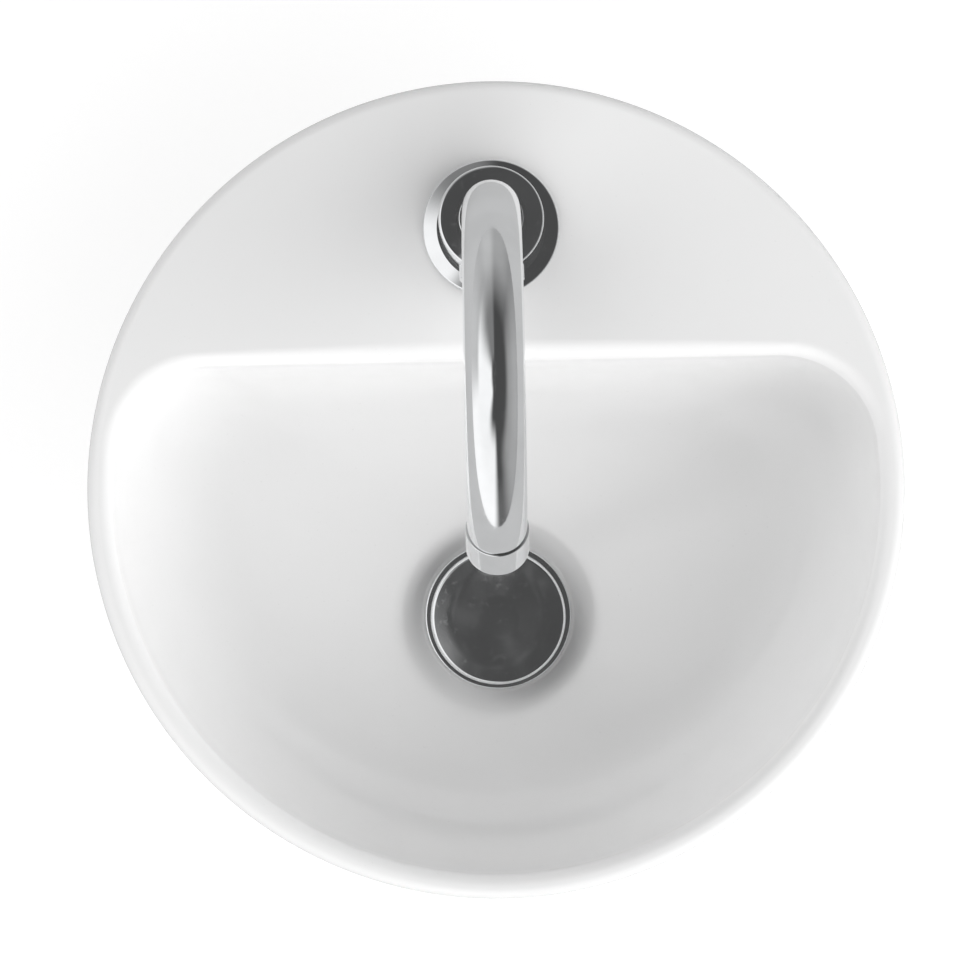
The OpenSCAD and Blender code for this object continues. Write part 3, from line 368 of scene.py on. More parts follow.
def wire(board, shader, **values):
    """Links values to the shader's sockets."""
    for key, value in values.items():
        board.tree.links.new(value.socket, shader.inputs[key.replace("_", " ")])


def bumped(board, height, depth):
    """A normal that is raised by height, where 1 stands for depth metres."""
    return board.add("ShaderNodeBump", {"Height": height, "Distance": depth, "Strength": 1.0})


def glaze_finish(look):
    """White gloss glaze with a faint ripple and a few pinholes, and bare clay under the foot."""
    material, board, shader, place = surface("glazed_white", IOR=1.5)
    height = board.add("ShaderNodeSeparateXYZ", {0: place}, output="Z")
    ripple = board.noise(place, 22.0, 2.0)
    skin = board.noise(place, 420.0, 2.0)
    cloud = board.noise(place, 9.0, 3.0)
    pits = board.noise(place, 900.0, 0.0).between(0.80, 0.86)
    grit = board.noise(place, 1500.0, 3.0)
    bare = 1.0 - (height + grit * 0.0004).between(0.0008, 0.0014)
    fired = board.blend(cloud.between(0.3, 0.7), look.glaze, [c * 0.985 for c in look.glaze])
    fired = board.blend(pits * 0.25, fired, [c * 0.8 for c in look.glaze])
    clay = board.blend(grit, look.clay, [c * 0.86 for c in look.clay])
    shade = board.blend(bare, fired, clay)
    gloss = 0.05 + cloud * 0.03 + skin * 0.02
    rough = gloss + bare * 0.75
    relief = ripple + skin * 0.02 + bare * grit * 0.3
    wire(board, shader, Base_Color=shade, Roughness=rough, Normal=bumped(board, relief, 0.0003))
    return material


def chrome_finish(look):
    """Polished chrome with fine buffing lines and a breath of haze."""
    material, board, shader, place = surface("chrome", Metallic=1.0)
    lines = board.noise(board.stretched(place, 60.0, 60.0, 900.0), 3.0, 3.0)
    haze = board.noise(place, 60.0, 3.0)
    drops = board.noise(place, 350.0, 1.0).between(0.62, 0.72)
    shade = board.blend(haze.between(0.35, 0.75), look.chrome, [c * 0.94 for c in look.chrome])
    rough = 0.035 + haze * 0.05 + lines * 0.03 + drops * 0.05
    relief = lines * 0.4 + haze * 0.6
    wire(board, shader, Base_Color=shade, Roughness=rough, Normal=bumped(board, relief, 0.00001))
    return material


def brass_finish(look):
    """Machined brass with turning marks and darker tarnish."""
    material, board, shader, place = surface("brass", Metallic=1.0)
    marks = board.noise(board.stretched(place, 120.0, 120.0, 2600.0), 2.0, 2.0)
    tarnish = board.noise(place, 90.0, 4.0).between(0.45, 0.75)
    shade = board.blend(tarnish * 0.6, look.brass, [c * 0.62 for c in look.brass])
    rough = 0.22 + marks * 0.12 + tarnish * 0.14
    wire(board, shader, Base_Color=shade, Roughness=rough, Normal=bumped(board, marks, 0.00004))
    return material


def steel_finish(look):
    """Zinc-plated steel with drawn lines along its length."""
    material, board, shader, place = surface("steel", Metallic=1.0)
    drawn = board.noise(board.stretched(place, 1800.0, 1800.0, 90.0), 1.5, 2.0)
    spangle = board.noise(place, 220.0, 2.0)
    shade = board.blend(spangle.between(0.35, 0.7), look.steel, [c * 0.82 for c in look.steel])
    rough = 0.25 + drawn * 0.14 + spangle * 0.08
    wire(board, shader, Base_Color=shade, Roughness=rough, Normal=bumped(board, drawn, 0.00003))
    return material


def rubber_finish(look):
    """Moulded black rubber with a dusty grain."""
    material, board, shader, place = surface("black_rubber", IOR=1.45)
    grain = board.noise(place, 1300.0, 3.0)
    dust = board.noise(place, 120.0, 3.0).between(0.5, 0.8)
    shade = board.blend(dust * 0.5, look.rubber, [c * 2.6 for c in look.rubber])
    rough = 0.62 + grain * 0.2
    wire(board, shader, Base_Color=shade, Roughness=rough, Normal=bumped(board, grain, 0.00005))
    return material


def plastic_finish(look):
    """Injection-moulded white plastic with a spark-eroded grain."""
    material, board, shader, place = surface("white_plastic", IOR=1.46)
    grain = board.noise(place, 1700.0, 2.0)
    flow = board.noise(board.stretched(place, 40.0, 40.0, 160.0), 2.0, 2.0)
    shade = board.blend(flow.between(0.4, 0.7), look.plastic, [c * 0.93 for c in look.plastic])
    rough = 0.38 + grain * 0.12 + flow * 0.05
    wire(board, shader, Base_Color=shade, Roughness=rough, Normal=bumped(board, grain, 0.00003))
    return material


def disc_finish(look):
    """Lapped alumina, smooth and slightly translucent-looking, with fine dark specks."""
    material, board, shader, place = surface("disc_ceramic", IOR=1.7)
    body = board.noise(place, 260.0, 3.0)
    specks = board.noise(place, 2400.0, 1.0).between(0.72, 0.8)
    shade = board.blend(body.between(0.35, 0.7), look.disc, [c * 0.94 for c in look.disc])
    shade = board.blend(specks * 0.4, shade, [c * 0.5 for c in look.disc])
    rough = 0.16 + body * 0.1
    wire(board, shader, Base_Color=shade, Roughness=rough, Normal=bumped(board, body, 0.00001))
    return material


FINISHES = {
    "glazed_white": glaze_finish,
    "chrome": chrome_finish,
    "brass": brass_finish,
    "steel": steel_finish,
    "black_rubber": rubber_finish,
    "white_plastic": plastic_finish,
    "disc_ceramic": disc_finish,
}


def finish_of(slot):
    """The material of one of the record's slots, made when it is first asked for."""
    found = bpy.data.materials.get("finish." + slot)
    if found is None:
        found = FINISHES[slot](bpy.context.scene.washbasin_finishes)
        found.name = "finish." + slot
    return found


def smoothstep(x):
    """0 below 0, 1 above 1 and a soft step between them."""
    x = max(0.0, min(1.0, x))
    return x * x * (3 - 2 * x)


def softened(profile, steps=6, closed=False):
    """A profile of (r, z, rounding) corners as (r, z) points, with each corner rounded."""
    points = []
    count = len(profile)
    for i, (x, y, radius) in enumerate(profile):
        inside = closed or 0 < i < count - 1
        if not radius or not inside:
            points.append((x, y))
            continue
        corner = Vector((x, y))
        back = Vector(profile[i - 1][:2]) - corner
        ahead = Vector(profile[(i + 1) % count][:2]) - corner
        u, v = back.normalized(), ahead.normalized()
        half = math.acos(max(-1.0, min(1.0, u.dot(v)))) / 2
        start = corner + u * (radius / math.tan(half))
        end = corner + v * (radius / math.tan(half))
        centre = corner + (u + v).normalized() * (radius / math.sin(half))
        a = math.atan2(start.y - centre.y, start.x - centre.x)
        b = math.atan2(end.y - centre.y, end.x - centre.x)
        sweep = (b - a + 3 * math.pi) % (2 * math.pi) - math.pi
        for k in range(steps + 1):
            at = a + sweep * k / steps
            points.append((centre.x + radius * math.cos(at), centre.y + radius * math.sin(at)))
    return points


def grid_mesh(name, columns, closed_section):
    """A mesh of columns that close on each other. A single-point end is given as one vertex."""
    mesh = bpy.data.meshes.new(name)
    shape = bmesh.new()
    rows = len(columns[0])
    rings = []
    for row in range(rows):
        ring = [columns[i][row] for i in range(len(columns))]
        if (Vector(ring[0]) - Vector(ring[len(ring) // 2])).length < 1e-9:
            vertex = shape.verts.new(ring[0])
            rings.append([vertex] * len(columns))
        else:
            rings.append([shape.verts.new(p) for p in ring])
    last = rows if closed_section else rows - 1
    for row in range(last):
        lower, upper = rings[row], rings[(row + 1) % rows]
        for i in range(len(columns)):
            j = (i + 1) % len(columns)
            corners = []
            for vertex in (lower[i], lower[j], upper[j], upper[i]):
                if vertex not in corners:
                    corners.append(vertex)
            if len(corners) > 2:
                shape.faces.new(corners)
    bmesh.ops.recalc_face_normals(shape, faces=shape.faces)
    shape.to_mesh(mesh)
    shape.free()
    return mesh


def turned(name, profile, around=AROUND, closed=False, steps=6):
    """A piece turned about the Z axis from a profile of (r, z, rounding) corners."""
    points = softened(profile, steps, closed)
    columns = []
    for i in range(around):
        a = 2 * math.pi * i / around
        columns.append([(r * math.cos(a), r * math.sin(a), z) for r, z in points])
    return new_piece(name, grid_mesh(name, columns, closed))


def new_piece(name, mesh):
    """An object at the origin with this mesh."""
    piece = bpy.data.objects.new(name, mesh)
    bpy.context.scene.collection.objects.link(piece)
    return piece


def moved(piece, matrix):
    """Moves a piece's mesh and leaves its object at the origin."""
    piece.data.transform(matrix)
    return piece


def baked(piece):
    """Turns a piece's modifiers into its plain mesh."""
    graph = bpy.context.evaluated_depsgraph_get()
    mesh = bpy.data.meshes.new_from_object(piece.evaluated_get(graph), depsgraph=graph)
    piece.modifiers.clear()
    piece.data = mesh
    return piece


def carved(piece, operation, *tools):
    """Joins or cuts a piece with others, which are used up."""
    for tool in tools:
        change = piece.modifiers.new("carve", "BOOLEAN")
        change.operation = operation
        change.solver = "EXACT"
        change.object = tool
        baked(piece)
        bpy.data.objects.remove(tool)
    return piece


def merged(piece, *others):
    """Puts other pieces' meshes into this one, as they are."""
    shape = bmesh.new()
    shape.from_mesh(piece.data)
    for other in others:
        shape.from_mesh(other.data)
        bpy.data.objects.remove(other)
    shape.to_mesh(piece.data)
    shape.free()
    return piece


def dressed(piece, body, slot, *nodes, crease=32, flats=True):
    """Shades a piece, gives it its finish, and puts it on its body in place of its CAD nodes."""
    mesh = piece.data
    mesh.materials.clear()
    mesh.materials.append(finish_of(slot))
    mesh.shade_smooth()
    mesh.set_sharp_from_angle(angle=math.radians(crease))
    if flats:
        weighted = piece.modifiers.new("flat faces stay flat", "WEIGHTED_NORMAL")
        weighted.keep_sharp = True
        baked(piece)
    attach(piece, body)
    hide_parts(*nodes)
    return piece


class BowlSection:
    """The basin's section in one direction from the waste, as (distance, height) points."""

    def __init__(self, sizes):
        self.s = sizes

    def to_circle(self, a, radius):
        """Distance from the waste to a circle about the basin's centre."""
        across = self.s.waste * math.cos(a)
        return self.s.waste * math.sin(a) + math.sqrt(radius * radius - across * across)

    def to_outline(self, a, radius, back, corner):
        """Distance from the waste to a D-shaped outline with rounded corners."""
        waste = self.s.waste
        c, s = abs(math.cos(a)), math.sin(a)
        towards = math.atan2(s, c)
        fy = back - corner
        fx = math.sqrt((radius - corner) ** 2 - fy * fy)
        line_end = math.atan2(back + waste, fx)
        arc_end = math.atan2(fy * radius / (radius - corner) + waste, fx * radius / (radius - corner))
        if towards >= line_end:
            return (back + waste) / s
        if towards <= arc_end:
            return self.to_circle(a, radius)
        qy = fy + waste
        b = fx * c + qy * s
        return b + math.sqrt(b * b - fx * fx - qy * qy + corner * corner)

    def bowl(self, a):
        """The glazed inside, from the waste hole up to the flat of the rim."""
        s = self.s
        r1 = self.to_outline(a, s.rim - s.band, s.ledge, s.corner)
        r2 = self.to_outline(a, s.floor, s.floor_back, s.floor_corner)
        z2 = s.floor_height + s.tilt * (r2 * math.sin(a) - s.waste + s.floor)
        slope = (z2 - s.recess_height) / (r2 - s.recess)
        backward = smoothstep((math.sin(a) - 0.35) / 0.4)
        lip = s.lip + (s.ledge_lip - s.lip) * backward
        low = softened(
            [
                (s.hole, s.seat_height, 0),
                (s.seat, s.seat_height, 0.002),
                (s.recess, s.recess_height, 0.015),
                (r2, z2, 0),
            ]
        )[:-1]
        start = low[-1]
        floor = [
            (start[0] + (r2 - start[0]) * k / 12, start[1] + (z2 - start[1]) * k / 12)
            for k in range(1, 12)
        ]
        top, bend = self.wall_ends(r1, lip, (r2, z2), slope)
        wall = bent((r2, z2), bend, top, 24)
        edge = [
            (r1 + lip * (1 - math.cos(q)), s.top - lip * (1 - math.sin(q)))
            for q in (s.lean + (math.pi / 2 - s.lean) * k / 9 for k in range(1, 10))
        ]
        return low, floor, wall, edge

    def wall_ends(self, reach, lip, foot, slope):
        """The wall's top, and where its lean there meets the slope of the floor beyond its foot."""
        c, s = math.cos(self.s.lean), math.sin(self.s.lean)
        top = (reach + lip * (1 - c), self.s.top - lip * (1 - s))
        drop = (top[1] - foot[1] - slope * (top[0] - foot[0])) / (c - slope * s)
        return top, (top[0] - drop * s, top[1] - drop * c)

    def outer(self, a):
        """The outside, from the flat of the rim down to the inside of the foot."""
        s = self.s
        lean = math.tan(s.taper)
        foot_r = s.rim - s.side * lean
        flat_r = foot_r - s.foot_edge * math.tan((math.pi / 2 - s.taper) / 2)
        profile = [
            (s.rim - 0.03, s.top, 0),
            (s.rim, s.top, s.edge),
            (s.rim, s.side, 0.15),
            (foot_r, 0, s.foot_edge),
            (flat_r - s.foot, 0, 0),
            (flat_r - s.foot, 0.008, 0),
        ]
        points = softened(profile, 10)[1:]
        return [(self.to_circle(a, r), z) for r, z in points]

    def inner_side(self, z):
        """Radius of the hollow's outer wall at a height."""
        s = self.s
        return s.rim - s.wall - max(0.0, s.side - z) * math.tan(s.taper)

    def underside(self):
        """The underside of the bowl's skin, seen from the front and at the back, as reach by height."""
        s = self.s
        under = s.recess_height - s.skin
        front_z, back_z = s.floor_height, s.floor_height + s.tilt * (s.floor_back + s.floor)
        front = (front_z - s.recess_height) / (s.floor - s.waste - s.recess)
        back = (back_z - s.recess_height) / (s.floor_back + s.waste - s.recess)
        bowl = s.rim - s.band
        front_bend = self.wall_ends(bowl, s.lip, (s.floor, front_z), front)[1]
        back_bend = self.wall_ends(s.ledge, s.ledge_lip, (s.floor_back, back_z), back)[1]
        return (
            [(s.recess, under)] + bent(
                (s.floor, front_z - s.skin),
                (front_bend[0] + s.skin, front_bend[1] - s.skin),
                (bowl + s.skin, s.ledge_under + 0.001),
            ),
            [(s.recess - s.waste, under - 0.001)] + bent(
                (s.floor_back + s.skin / 2, back_z - s.skin),
                (back_bend[0] + s.skin, back_bend[1] - s.skin),
                (s.ledge + s.skin, s.ledge_under + 0.001),
            ),
        )

    def hollow(self, a, under):
        """The inside of the hollow foot, up its outer wall and down round the bowl."""
        s = self.s
        front, back = under
        skin = []
        for k in range(80):
            z = s.recess_height - s.skin + (s.ledge_under - s.recess_height + s.skin) * (1 - k / 79) ** 2
            reach = self.to_circle(a, max(reach_at(front, z), s.waste * 1.001))
            if math.sin(a) > 0.02:
                reach = min(reach, (reach_at(back, z) + s.waste) / math.sin(a))
            reach = min(reach, self.to_circle(a, self.inner_side(z)) - 0.001)
            if reach > s.boss + 0.001:
                skin.append((reach, z))
        ceiling = skin[0][1]
        side = []
        for k in range(15):
            z = 0.014 + (ceiling - 0.014) * k / 14
            side.append((self.to_circle(a, self.inner_side(z)), z))
        across = [
            (side[-1][0] + (skin[0][0] - side[-1][0]) * k / 3, ceiling) for k in (1, 2)
        ]
        down = resampled(skin, 24)
        boss_top = down[-1][1] - 0.0005
        boss = [
            (s.boss, boss_top),
            (s.boss, (boss_top + s.boss_height) / 2),
            (s.boss, s.boss_height + 0.002),
            (s.boss - 0.0006, s.boss_height + 0.0006),
            (s.boss - 0.002, s.boss_height),
            ((s.boss + s.hole) / 2, s.boss_height),
            (s.hole, s.boss_height),
        ]
        return side + across + down + boss

    def points(self, a):
        """The whole closed section: the bowl, the rim, the outside and the hollow foot."""
        s = self.s
        low, floor, wall, edge = self.bowl(a)
        outer = self.outer(a)
        near, far = edge[-1][0], outer[0][0]
        step = 0.0003
        flat = [(near + step, s.top)]
        flat += [(near + step + (far - near - 2 * step) * k / 4, s.top) for k in (1, 2, 3)]
        flat += [(far - step, s.top)]
        return low + floor + wall + edge + flat + outer + self.hollow(a, self.underside())


def bent(a, b, c, steps=8):
    """A quadratic curve from a to c that is drawn towards b, as points."""
    return [
        tuple((1 - t) ** 2 * p + 2 * t * (1 - t) * q + t * t * r for p, q, r in zip(a, b, c))
        for t in (k / steps for k in range(steps + 1))
    ]


def reach_at(line, z):
    """How far out a line of rising (reach, height) points is at a height."""
    for (r0, z0), (r1, z1) in zip(line, line[1:]):
        if z <= z1:
            return r0 + (r1 - r0) * max(0.0, (z - z0) / (z1 - z0))
    return line[-1][0]


def resampled(line, count):
    """A line of points as count points at even distances along it."""
    places = [0.0]
    for p, q in zip(line, line[1:]):
        places.append(places[-1] + math.dist(p, q))
    points, k = [], 0
    for i in range(count):
        at = places[-1] * i / (count - 1)
        while k < len(line) - 2 and places[k + 1] < at:
            k += 1
        part = (at - places[k]) / max(1e-12, places[k + 1] - places[k])
        points.append(tuple(p + (q - p) * part for p, q in zip(line[k], line[k + 1])))
    return points


class PieceOperator:
    """What the operators of this file share."""

    bl_options = {"REGISTER", "UNDO"}


class WASHBASIN_OT_basin(PieceOperator, bpy.types.Operator):
    """Makes the ceramic basin: the bowl, its rim and ledge, the outer side and the hollow foot"""

    bl_idname = "washbasin.basin"
    bl_label = "Basin"

    def execute(self, context):
        s = context.scene.washbasin_basin
        section = BowlSection(s)
        columns = []
        for i in range(COLUMNS):
            a = 2 * math.pi * i / COLUMNS
            columns.append([
                (d * math.cos(a), d * math.sin(a) - s.waste, z) for d, z in section.points(a)
            ])
        piece = new_piece("ceramic_basin", grid_mesh("ceramic_basin", columns, True))
        drill = turned("drill", [
            (0, s.ledge_under - 0.01, 0),
            (s.tap_hole, s.ledge_under - 0.01, 0),
            (s.tap_hole, s.top + 0.01, 0),
            (0, s.top + 0.01, 0),
        ])
        moved(drill, Matrix.Translation((0, s.tap, 0)))
        carved(piece, "DIFFERENCE", drill)
        dressed(piece, "base", "glazed_white", "basin", crease=40, flats=False)
        return {"FINISHED"}


def thread_tree():
    """A node tree that winds a thread's ridge, with its sizes as inputs."""
    tree = bpy.data.node_groups.new("Thread ridge", "GeometryNodeTree")
    face = tree.interface
    face.new_socket("Geometry", in_out="INPUT", socket_type="NodeSocketGeometry")
    for name in ("Radius", "Length", "Pitch", "Ridge"):
        face.new_socket(name, in_out="INPUT", socket_type="NodeSocketFloat")
    face.new_socket("Finish", in_out="INPUT", socket_type="NodeSocketMaterial")
    face.new_socket("Geometry", in_out="OUTPUT", socket_type="NodeSocketGeometry")
    board = Board(tree)
    given = board.add("NodeGroupInput", output="Radius")
    ridge = given["Ridge"]
    spiral = board.add("GeometryNodeCurveSpiral", {
        "Resolution": 40,
        "Rotations": given["Length"] / given["Pitch"],
        "Start Radius": given["Radius"] - ridge,
        "End Radius": given["Radius"] - ridge,
        "Height": given["Length"],
    })
    section = board.add("GeometryNodeCurvePrimitiveCircle", {"Resolution": 6, "Radius": ridge})
    swept = board.add("GeometryNodeCurveToMesh", {
        "Curve": spiral, "Profile Curve": section, "Fill Caps": True,
    })
    real = board.add("GeometryNodeRealizeInstances", {"Geometry": swept})
    done = board.add("GeometryNodeSetMaterial", {"Geometry": real, "Material": given["Finish"]})
    out = tree.nodes.new("NodeGroupOutput")
    tree.links.new(done.socket, out.inputs["Geometry"])
    return tree


def from_tree(name, tree, finish, **inputs):
    """A plain mesh made by a node tree from these inputs."""
    piece = new_piece(name, bpy.data.meshes.new(name))
    nodes = piece.modifiers.new("nodes", "NODES")
    nodes.node_group = tree
    for item in tree.interface.items_tree:
        if item.in_out != "INPUT" or item.name == "Geometry":
            continue
        value = finish if item.name == "Finish" else inputs[item.name.replace(" ", "_")]
        nodes[item.identifier] = value
    return baked(piece)


def thread(name, slot, radius, start, reach, pitch):
    """A thread's ridge about the Z axis, from this height up over this reach."""
    ridge = pitch * 0.45
    tree = bpy.data.node_groups.get("Thread ridge") or thread_tree()
    piece = from_tree(
        name, tree, finish_of(slot), Radius=radius, Length=reach, Pitch=pitch, Ridge=ridge
    )
    return moved(piece, Matrix.Translation((0, 0, start)))


class WASHBASIN_OT_waste(PieceOperator, bpy.types.Operator):
    """Makes the waste with its dished flange, spider and threaded tail, and the push cap"""

    bl_idname = "washbasin.waste"
    bl_label = "Waste and cap"

    def execute(self, context):
        s = context.scene.washbasin_waste
        place = Matrix.Translation((0, -context.scene.washbasin_basin.waste, 0))
        dish_r = s.flange - s.land
        dish_z = s.flange_top - s.dish
        core = s.thread - s.pitch * 0.62
        body = turned("waste_with_flange", [
            (s.bore, s.tail, 0.0004),
            (core, s.tail, 0.0006),
            (core, s.flange_under - 0.002, 0),
            (s.thread, s.flange_under - 0.002, 0),
            (s.thread, s.flange_under, 0),
            (s.flange, s.flange_under, 0.0003),
            (s.flange, s.flange_top, 0.001),
            (dish_r, s.flange_top, 0.002),
            (s.bore + 0.0015, dish_z, 0.001),
            (s.bore, dish_z - 0.0015, 0.001),
        ], closed=True)
        ring = turned("hub", [
            (s.hub, s.hub_top - s.hub_height, 0.0003),
            (s.hub + 0.0025, s.hub_top - s.hub_height, 0.0006),
            (s.hub + 0.0025, s.hub_top, 0.0006),
            (s.hub, s.hub_top, 0.0003),
        ], closed=True)
        arms = []
        for i in range(s.arms):
            arm = new_piece("arm", bpy.data.meshes.new("arm"))
            shape = bmesh.new()
            made = bmesh.ops.create_cube(shape, size=1.0)
            bmesh.ops.scale(
                shape, verts=made["verts"],
                vec=(s.bore - s.hub - 0.0008, 0.003, s.hub_height - 0.001),
            )
            bmesh.ops.bevel(
                shape, geom=shape.edges[:], offset=0.0005, segments=3, affect="EDGES", profile=0.5
            )
            shape.to_mesh(arm.data)
            shape.free()
            way = Matrix.Rotation(math.pi / 2 + 2 * math.pi * i / s.arms, 4, "Z")
            out = Matrix.Translation(((s.bore + s.hub + 0.0015) / 2, 0, s.hub_top - s.hub_height / 2))
            arms.append(moved(arm, way @ out))
        ridge = thread("ridge", "chrome", s.thread, s.tail + 0.002, s.threaded, s.pitch)
        merged(body, ring, ridge, *arms)
        dressed(moved(body, place), "base", "chrome", "waste_body")
        cap = turned("push_cap", [
            (0, s.cap_under - 0.001, 0),
            (CAP_BORE, s.cap_under - 0.001, 0),
            (CAP_BORE, s.cap_boss_under, 0.0003),
            (s.cap_boss, s.cap_boss_under, 0.0005),
            (s.cap_boss, s.cap_under, 0.001),
            (s.cap, s.cap_under, 0.0006),
            (s.cap, s.cap_top - 0.0008, 0.002),
            (s.cap * 0.7, s.cap_top - 0.0003, 0.2),
            (s.cap * 0.3, s.cap_top - 0.00005, 0.2),
            (0, s.cap_top, 0),
        ], around=192, steps=10)
        dressed(moved(cap, place), "waste_plug", "chrome", "waste_cap")
        return {"FINISHED"}


class WASHBASIN_OT_tap_body(PieceOperator, bpy.types.Operator):
    """Makes the tap's base flange, its body with the cartridge boss, the collar and the stud"""

    bl_idname = "washbasin.tap_body"
    bl_label = "Tap body"

    def execute(self, context):
        s = context.scene.washbasin_tap
        spout = context.scene.washbasin_spout
        tap_y = context.scene.washbasin_basin.tap
        place = Matrix.Translation((0, tap_y, 0))
        flange = turned("tap_flange", [
            (s.spigot + SLIP, s.seat, 0.0003),
            (s.flange, s.seat, 0.0004),
            (s.flange, s.seat + s.edge, 0.001),
            (s.body + 0.0015, s.foot, 0.001),
            (s.spigot + SLIP, s.foot, 0),
        ], around=192, closed=True)
        dressed(moved(flange, place), "base", "chrome", "tap_base_flange")
        body = turned("tap_body_shell", [
            (0, s.spigot_under, 0),
            (s.spigot, s.spigot_under, 0.0005),
            (s.spigot, s.foot, 0),
            (s.body, s.foot, 0.0003),
            (s.body, s.top, 0.0012),
            (0, s.top, 0),
        ], around=192)
        facing = Matrix.Translation((0, 0, s.axis)) @ Matrix.Rotation(math.pi / 2, 4, "X")
        boss = turned("boss", [
            (0, 0, 0), (s.boss, 0, 0), (s.boss, s.boss_face, 0.0003), (0, s.boss_face, 0),
        ])
        chamber = turned("chamber", [
            (0, -s.chamber_back, 0), (s.chamber, -s.chamber_back, 0), (s.chamber, 0.04, 0), (0, 0.04, 0),
        ])
        socket = turned("socket", [
            (0, s.socket_floor, 0), (s.socket, s.socket_floor, 0), (s.socket, 0.23, 0), (0, 0.23, 0),
        ])
        ports = []
        for side in (-1, 1):
            port = turned("port", [
                (0, 0.13, 0), (s.inlet, 0.13, 0), (s.inlet, s.spigot_under + 0.012, 0),
                (0, s.spigot_under + 0.012, 0),
            ], around=48)
            ports.append(moved(port, Matrix.Translation((side * s.inlet_apart, s.inlet_back, 0))))
        carved(body, "UNION", moved(boss, facing))
        carved(body, "DIFFERENCE", moved(chamber, facing), socket, *ports)
        dressed(moved(body, place), "base", "chrome", "tap_body", crease=30)
        collar = turned("spout_collar_ring", [
            (spout.tube + SLIP, spout.collar_foot, 0),
            (s.socket - FIT, spout.collar_foot, 0.0003),
            (s.socket - FIT, s.top, 0),
            (spout.collar, s.top, 0),
            (spout.collar, spout.collar_top, 0.0004),
            (spout.tube + SLIP, spout.collar_top, 0.0003),
        ], closed=True)
        dressed(moved(collar, place), "base", "chrome", "spout_collar")
        low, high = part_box("fixing_stud")
        core = s.stud - 0.0007
        stud = turned("threaded_stud", [
            (0, low.z, 0), (core, low.z, 0.0006), (core, high.z, 0.0004), (0, high.z, 0),
        ], around=48)
        reach = high.z - low.z - 0.002
        ridge = thread("stud_ridge", "steel", s.stud, low.z + 0.001, reach, s.stud_pitch)
        merged(stud, ridge)
        dressed(moved(stud, Matrix.Translation((0, tap_y - s.stud_front, 0))), "base", "steel", "fixing_stud")
        return {"FINISHED"}


def stem_frame(context, along=0.0, up=0.0, rise=0.0):
    """The lever's frame: the pivot is its origin, Z runs out along the stem and Y is up."""
    s = context.scene.washbasin_tap
    pivot = Vector((0, context.scene.washbasin_basin.tap - s.pivot, s.axis))
    lie = Matrix.Translation(pivot) @ Matrix.Rotation(math.pi / 2 + s.droop, 4, "X")
    return lie @ Matrix.Translation((0, up, along)) @ Matrix.Rotation(-rise, 4, "X")


class WASHBASIN_OT_lever(PieceOperator, bpy.types.Operator):
    """Makes the bonnet ring, the lever's hub and the slim pin lever"""

    bl_idname = "washbasin.lever"
    bl_label = "Lever"

    def execute(self, context):
        s = context.scene.washbasin_tap
        tap_y = context.scene.washbasin_basin.tap
        face = Matrix.Translation((0, tap_y - s.boss_face, s.axis)) @ Matrix.Rotation(math.pi / 2, 4, "X")
        bonnet = turned("bonnet", [
            (s.bonnet_bore, -s.bonnet_sunk, 0.0003),
            (s.chamber - FIT, -s.bonnet_sunk, 0.0003),
            (s.chamber - FIT, 0, 0),
            (s.boss, 0, 0.0003),
            (s.boss, 0.001, 0.0008),
            (s.boss - 0.0028, s.bonnet_face, 0.001),
            (s.bonnet_bore, s.bonnet_face, 0.0005),
        ], closed=True)
        dressed(moved(bonnet, face), "base", "chrome", "bonnet_ring")
        hub = turned("hub_knob", [
            (0, 0, 0),
            (s.hub, 0, 0.0015),
            (s.hub, s.hub_length - 0.002, 0.0035),
            (0, s.hub_length, 0),
        ], steps=10)
        stem_hole = turned("stem_hole", [
            (0, -0.001, 0), (STEM_HOLE, -0.001, 0), (STEM_HOLE, STEM_DEPTH, 0), (0, STEM_DEPTH, 0),
        ], around=48)
        screw_hole = turned("screw_hole", [
            (0, 0, 0), (SCREW_HOLE, 0, 0), (SCREW_HOLE, 0.02, 0), (0, 0.02, 0),
        ], around=48)
        moved(screw_hole, Matrix.Translation((0, 0, STEM_HOLE)) @ Matrix.Rotation(math.pi / 2, 4, "X"))
        carved(hub, "DIFFERENCE", stem_hole, screw_hole)
        dressed(moved(hub, stem_frame(context, s.hub_from)), "lever", "chrome", "lever_hub", crease=30)
        pin = turned("pin", [
            (0, 0, 0),
            (s.pin, 0, 0.0003),
            (s.pin, s.pin_length, s.pin * 0.98),
            (0, s.pin_length, 0),
        ], around=64, steps=12)
        root = s.hub_from + STEM_DEPTH + 0.0035
        dressed(moved(pin, stem_frame(context, root, 0.0015, s.pin_rise)), "lever", "chrome", "pin_lever")
        return {"FINISHED"}


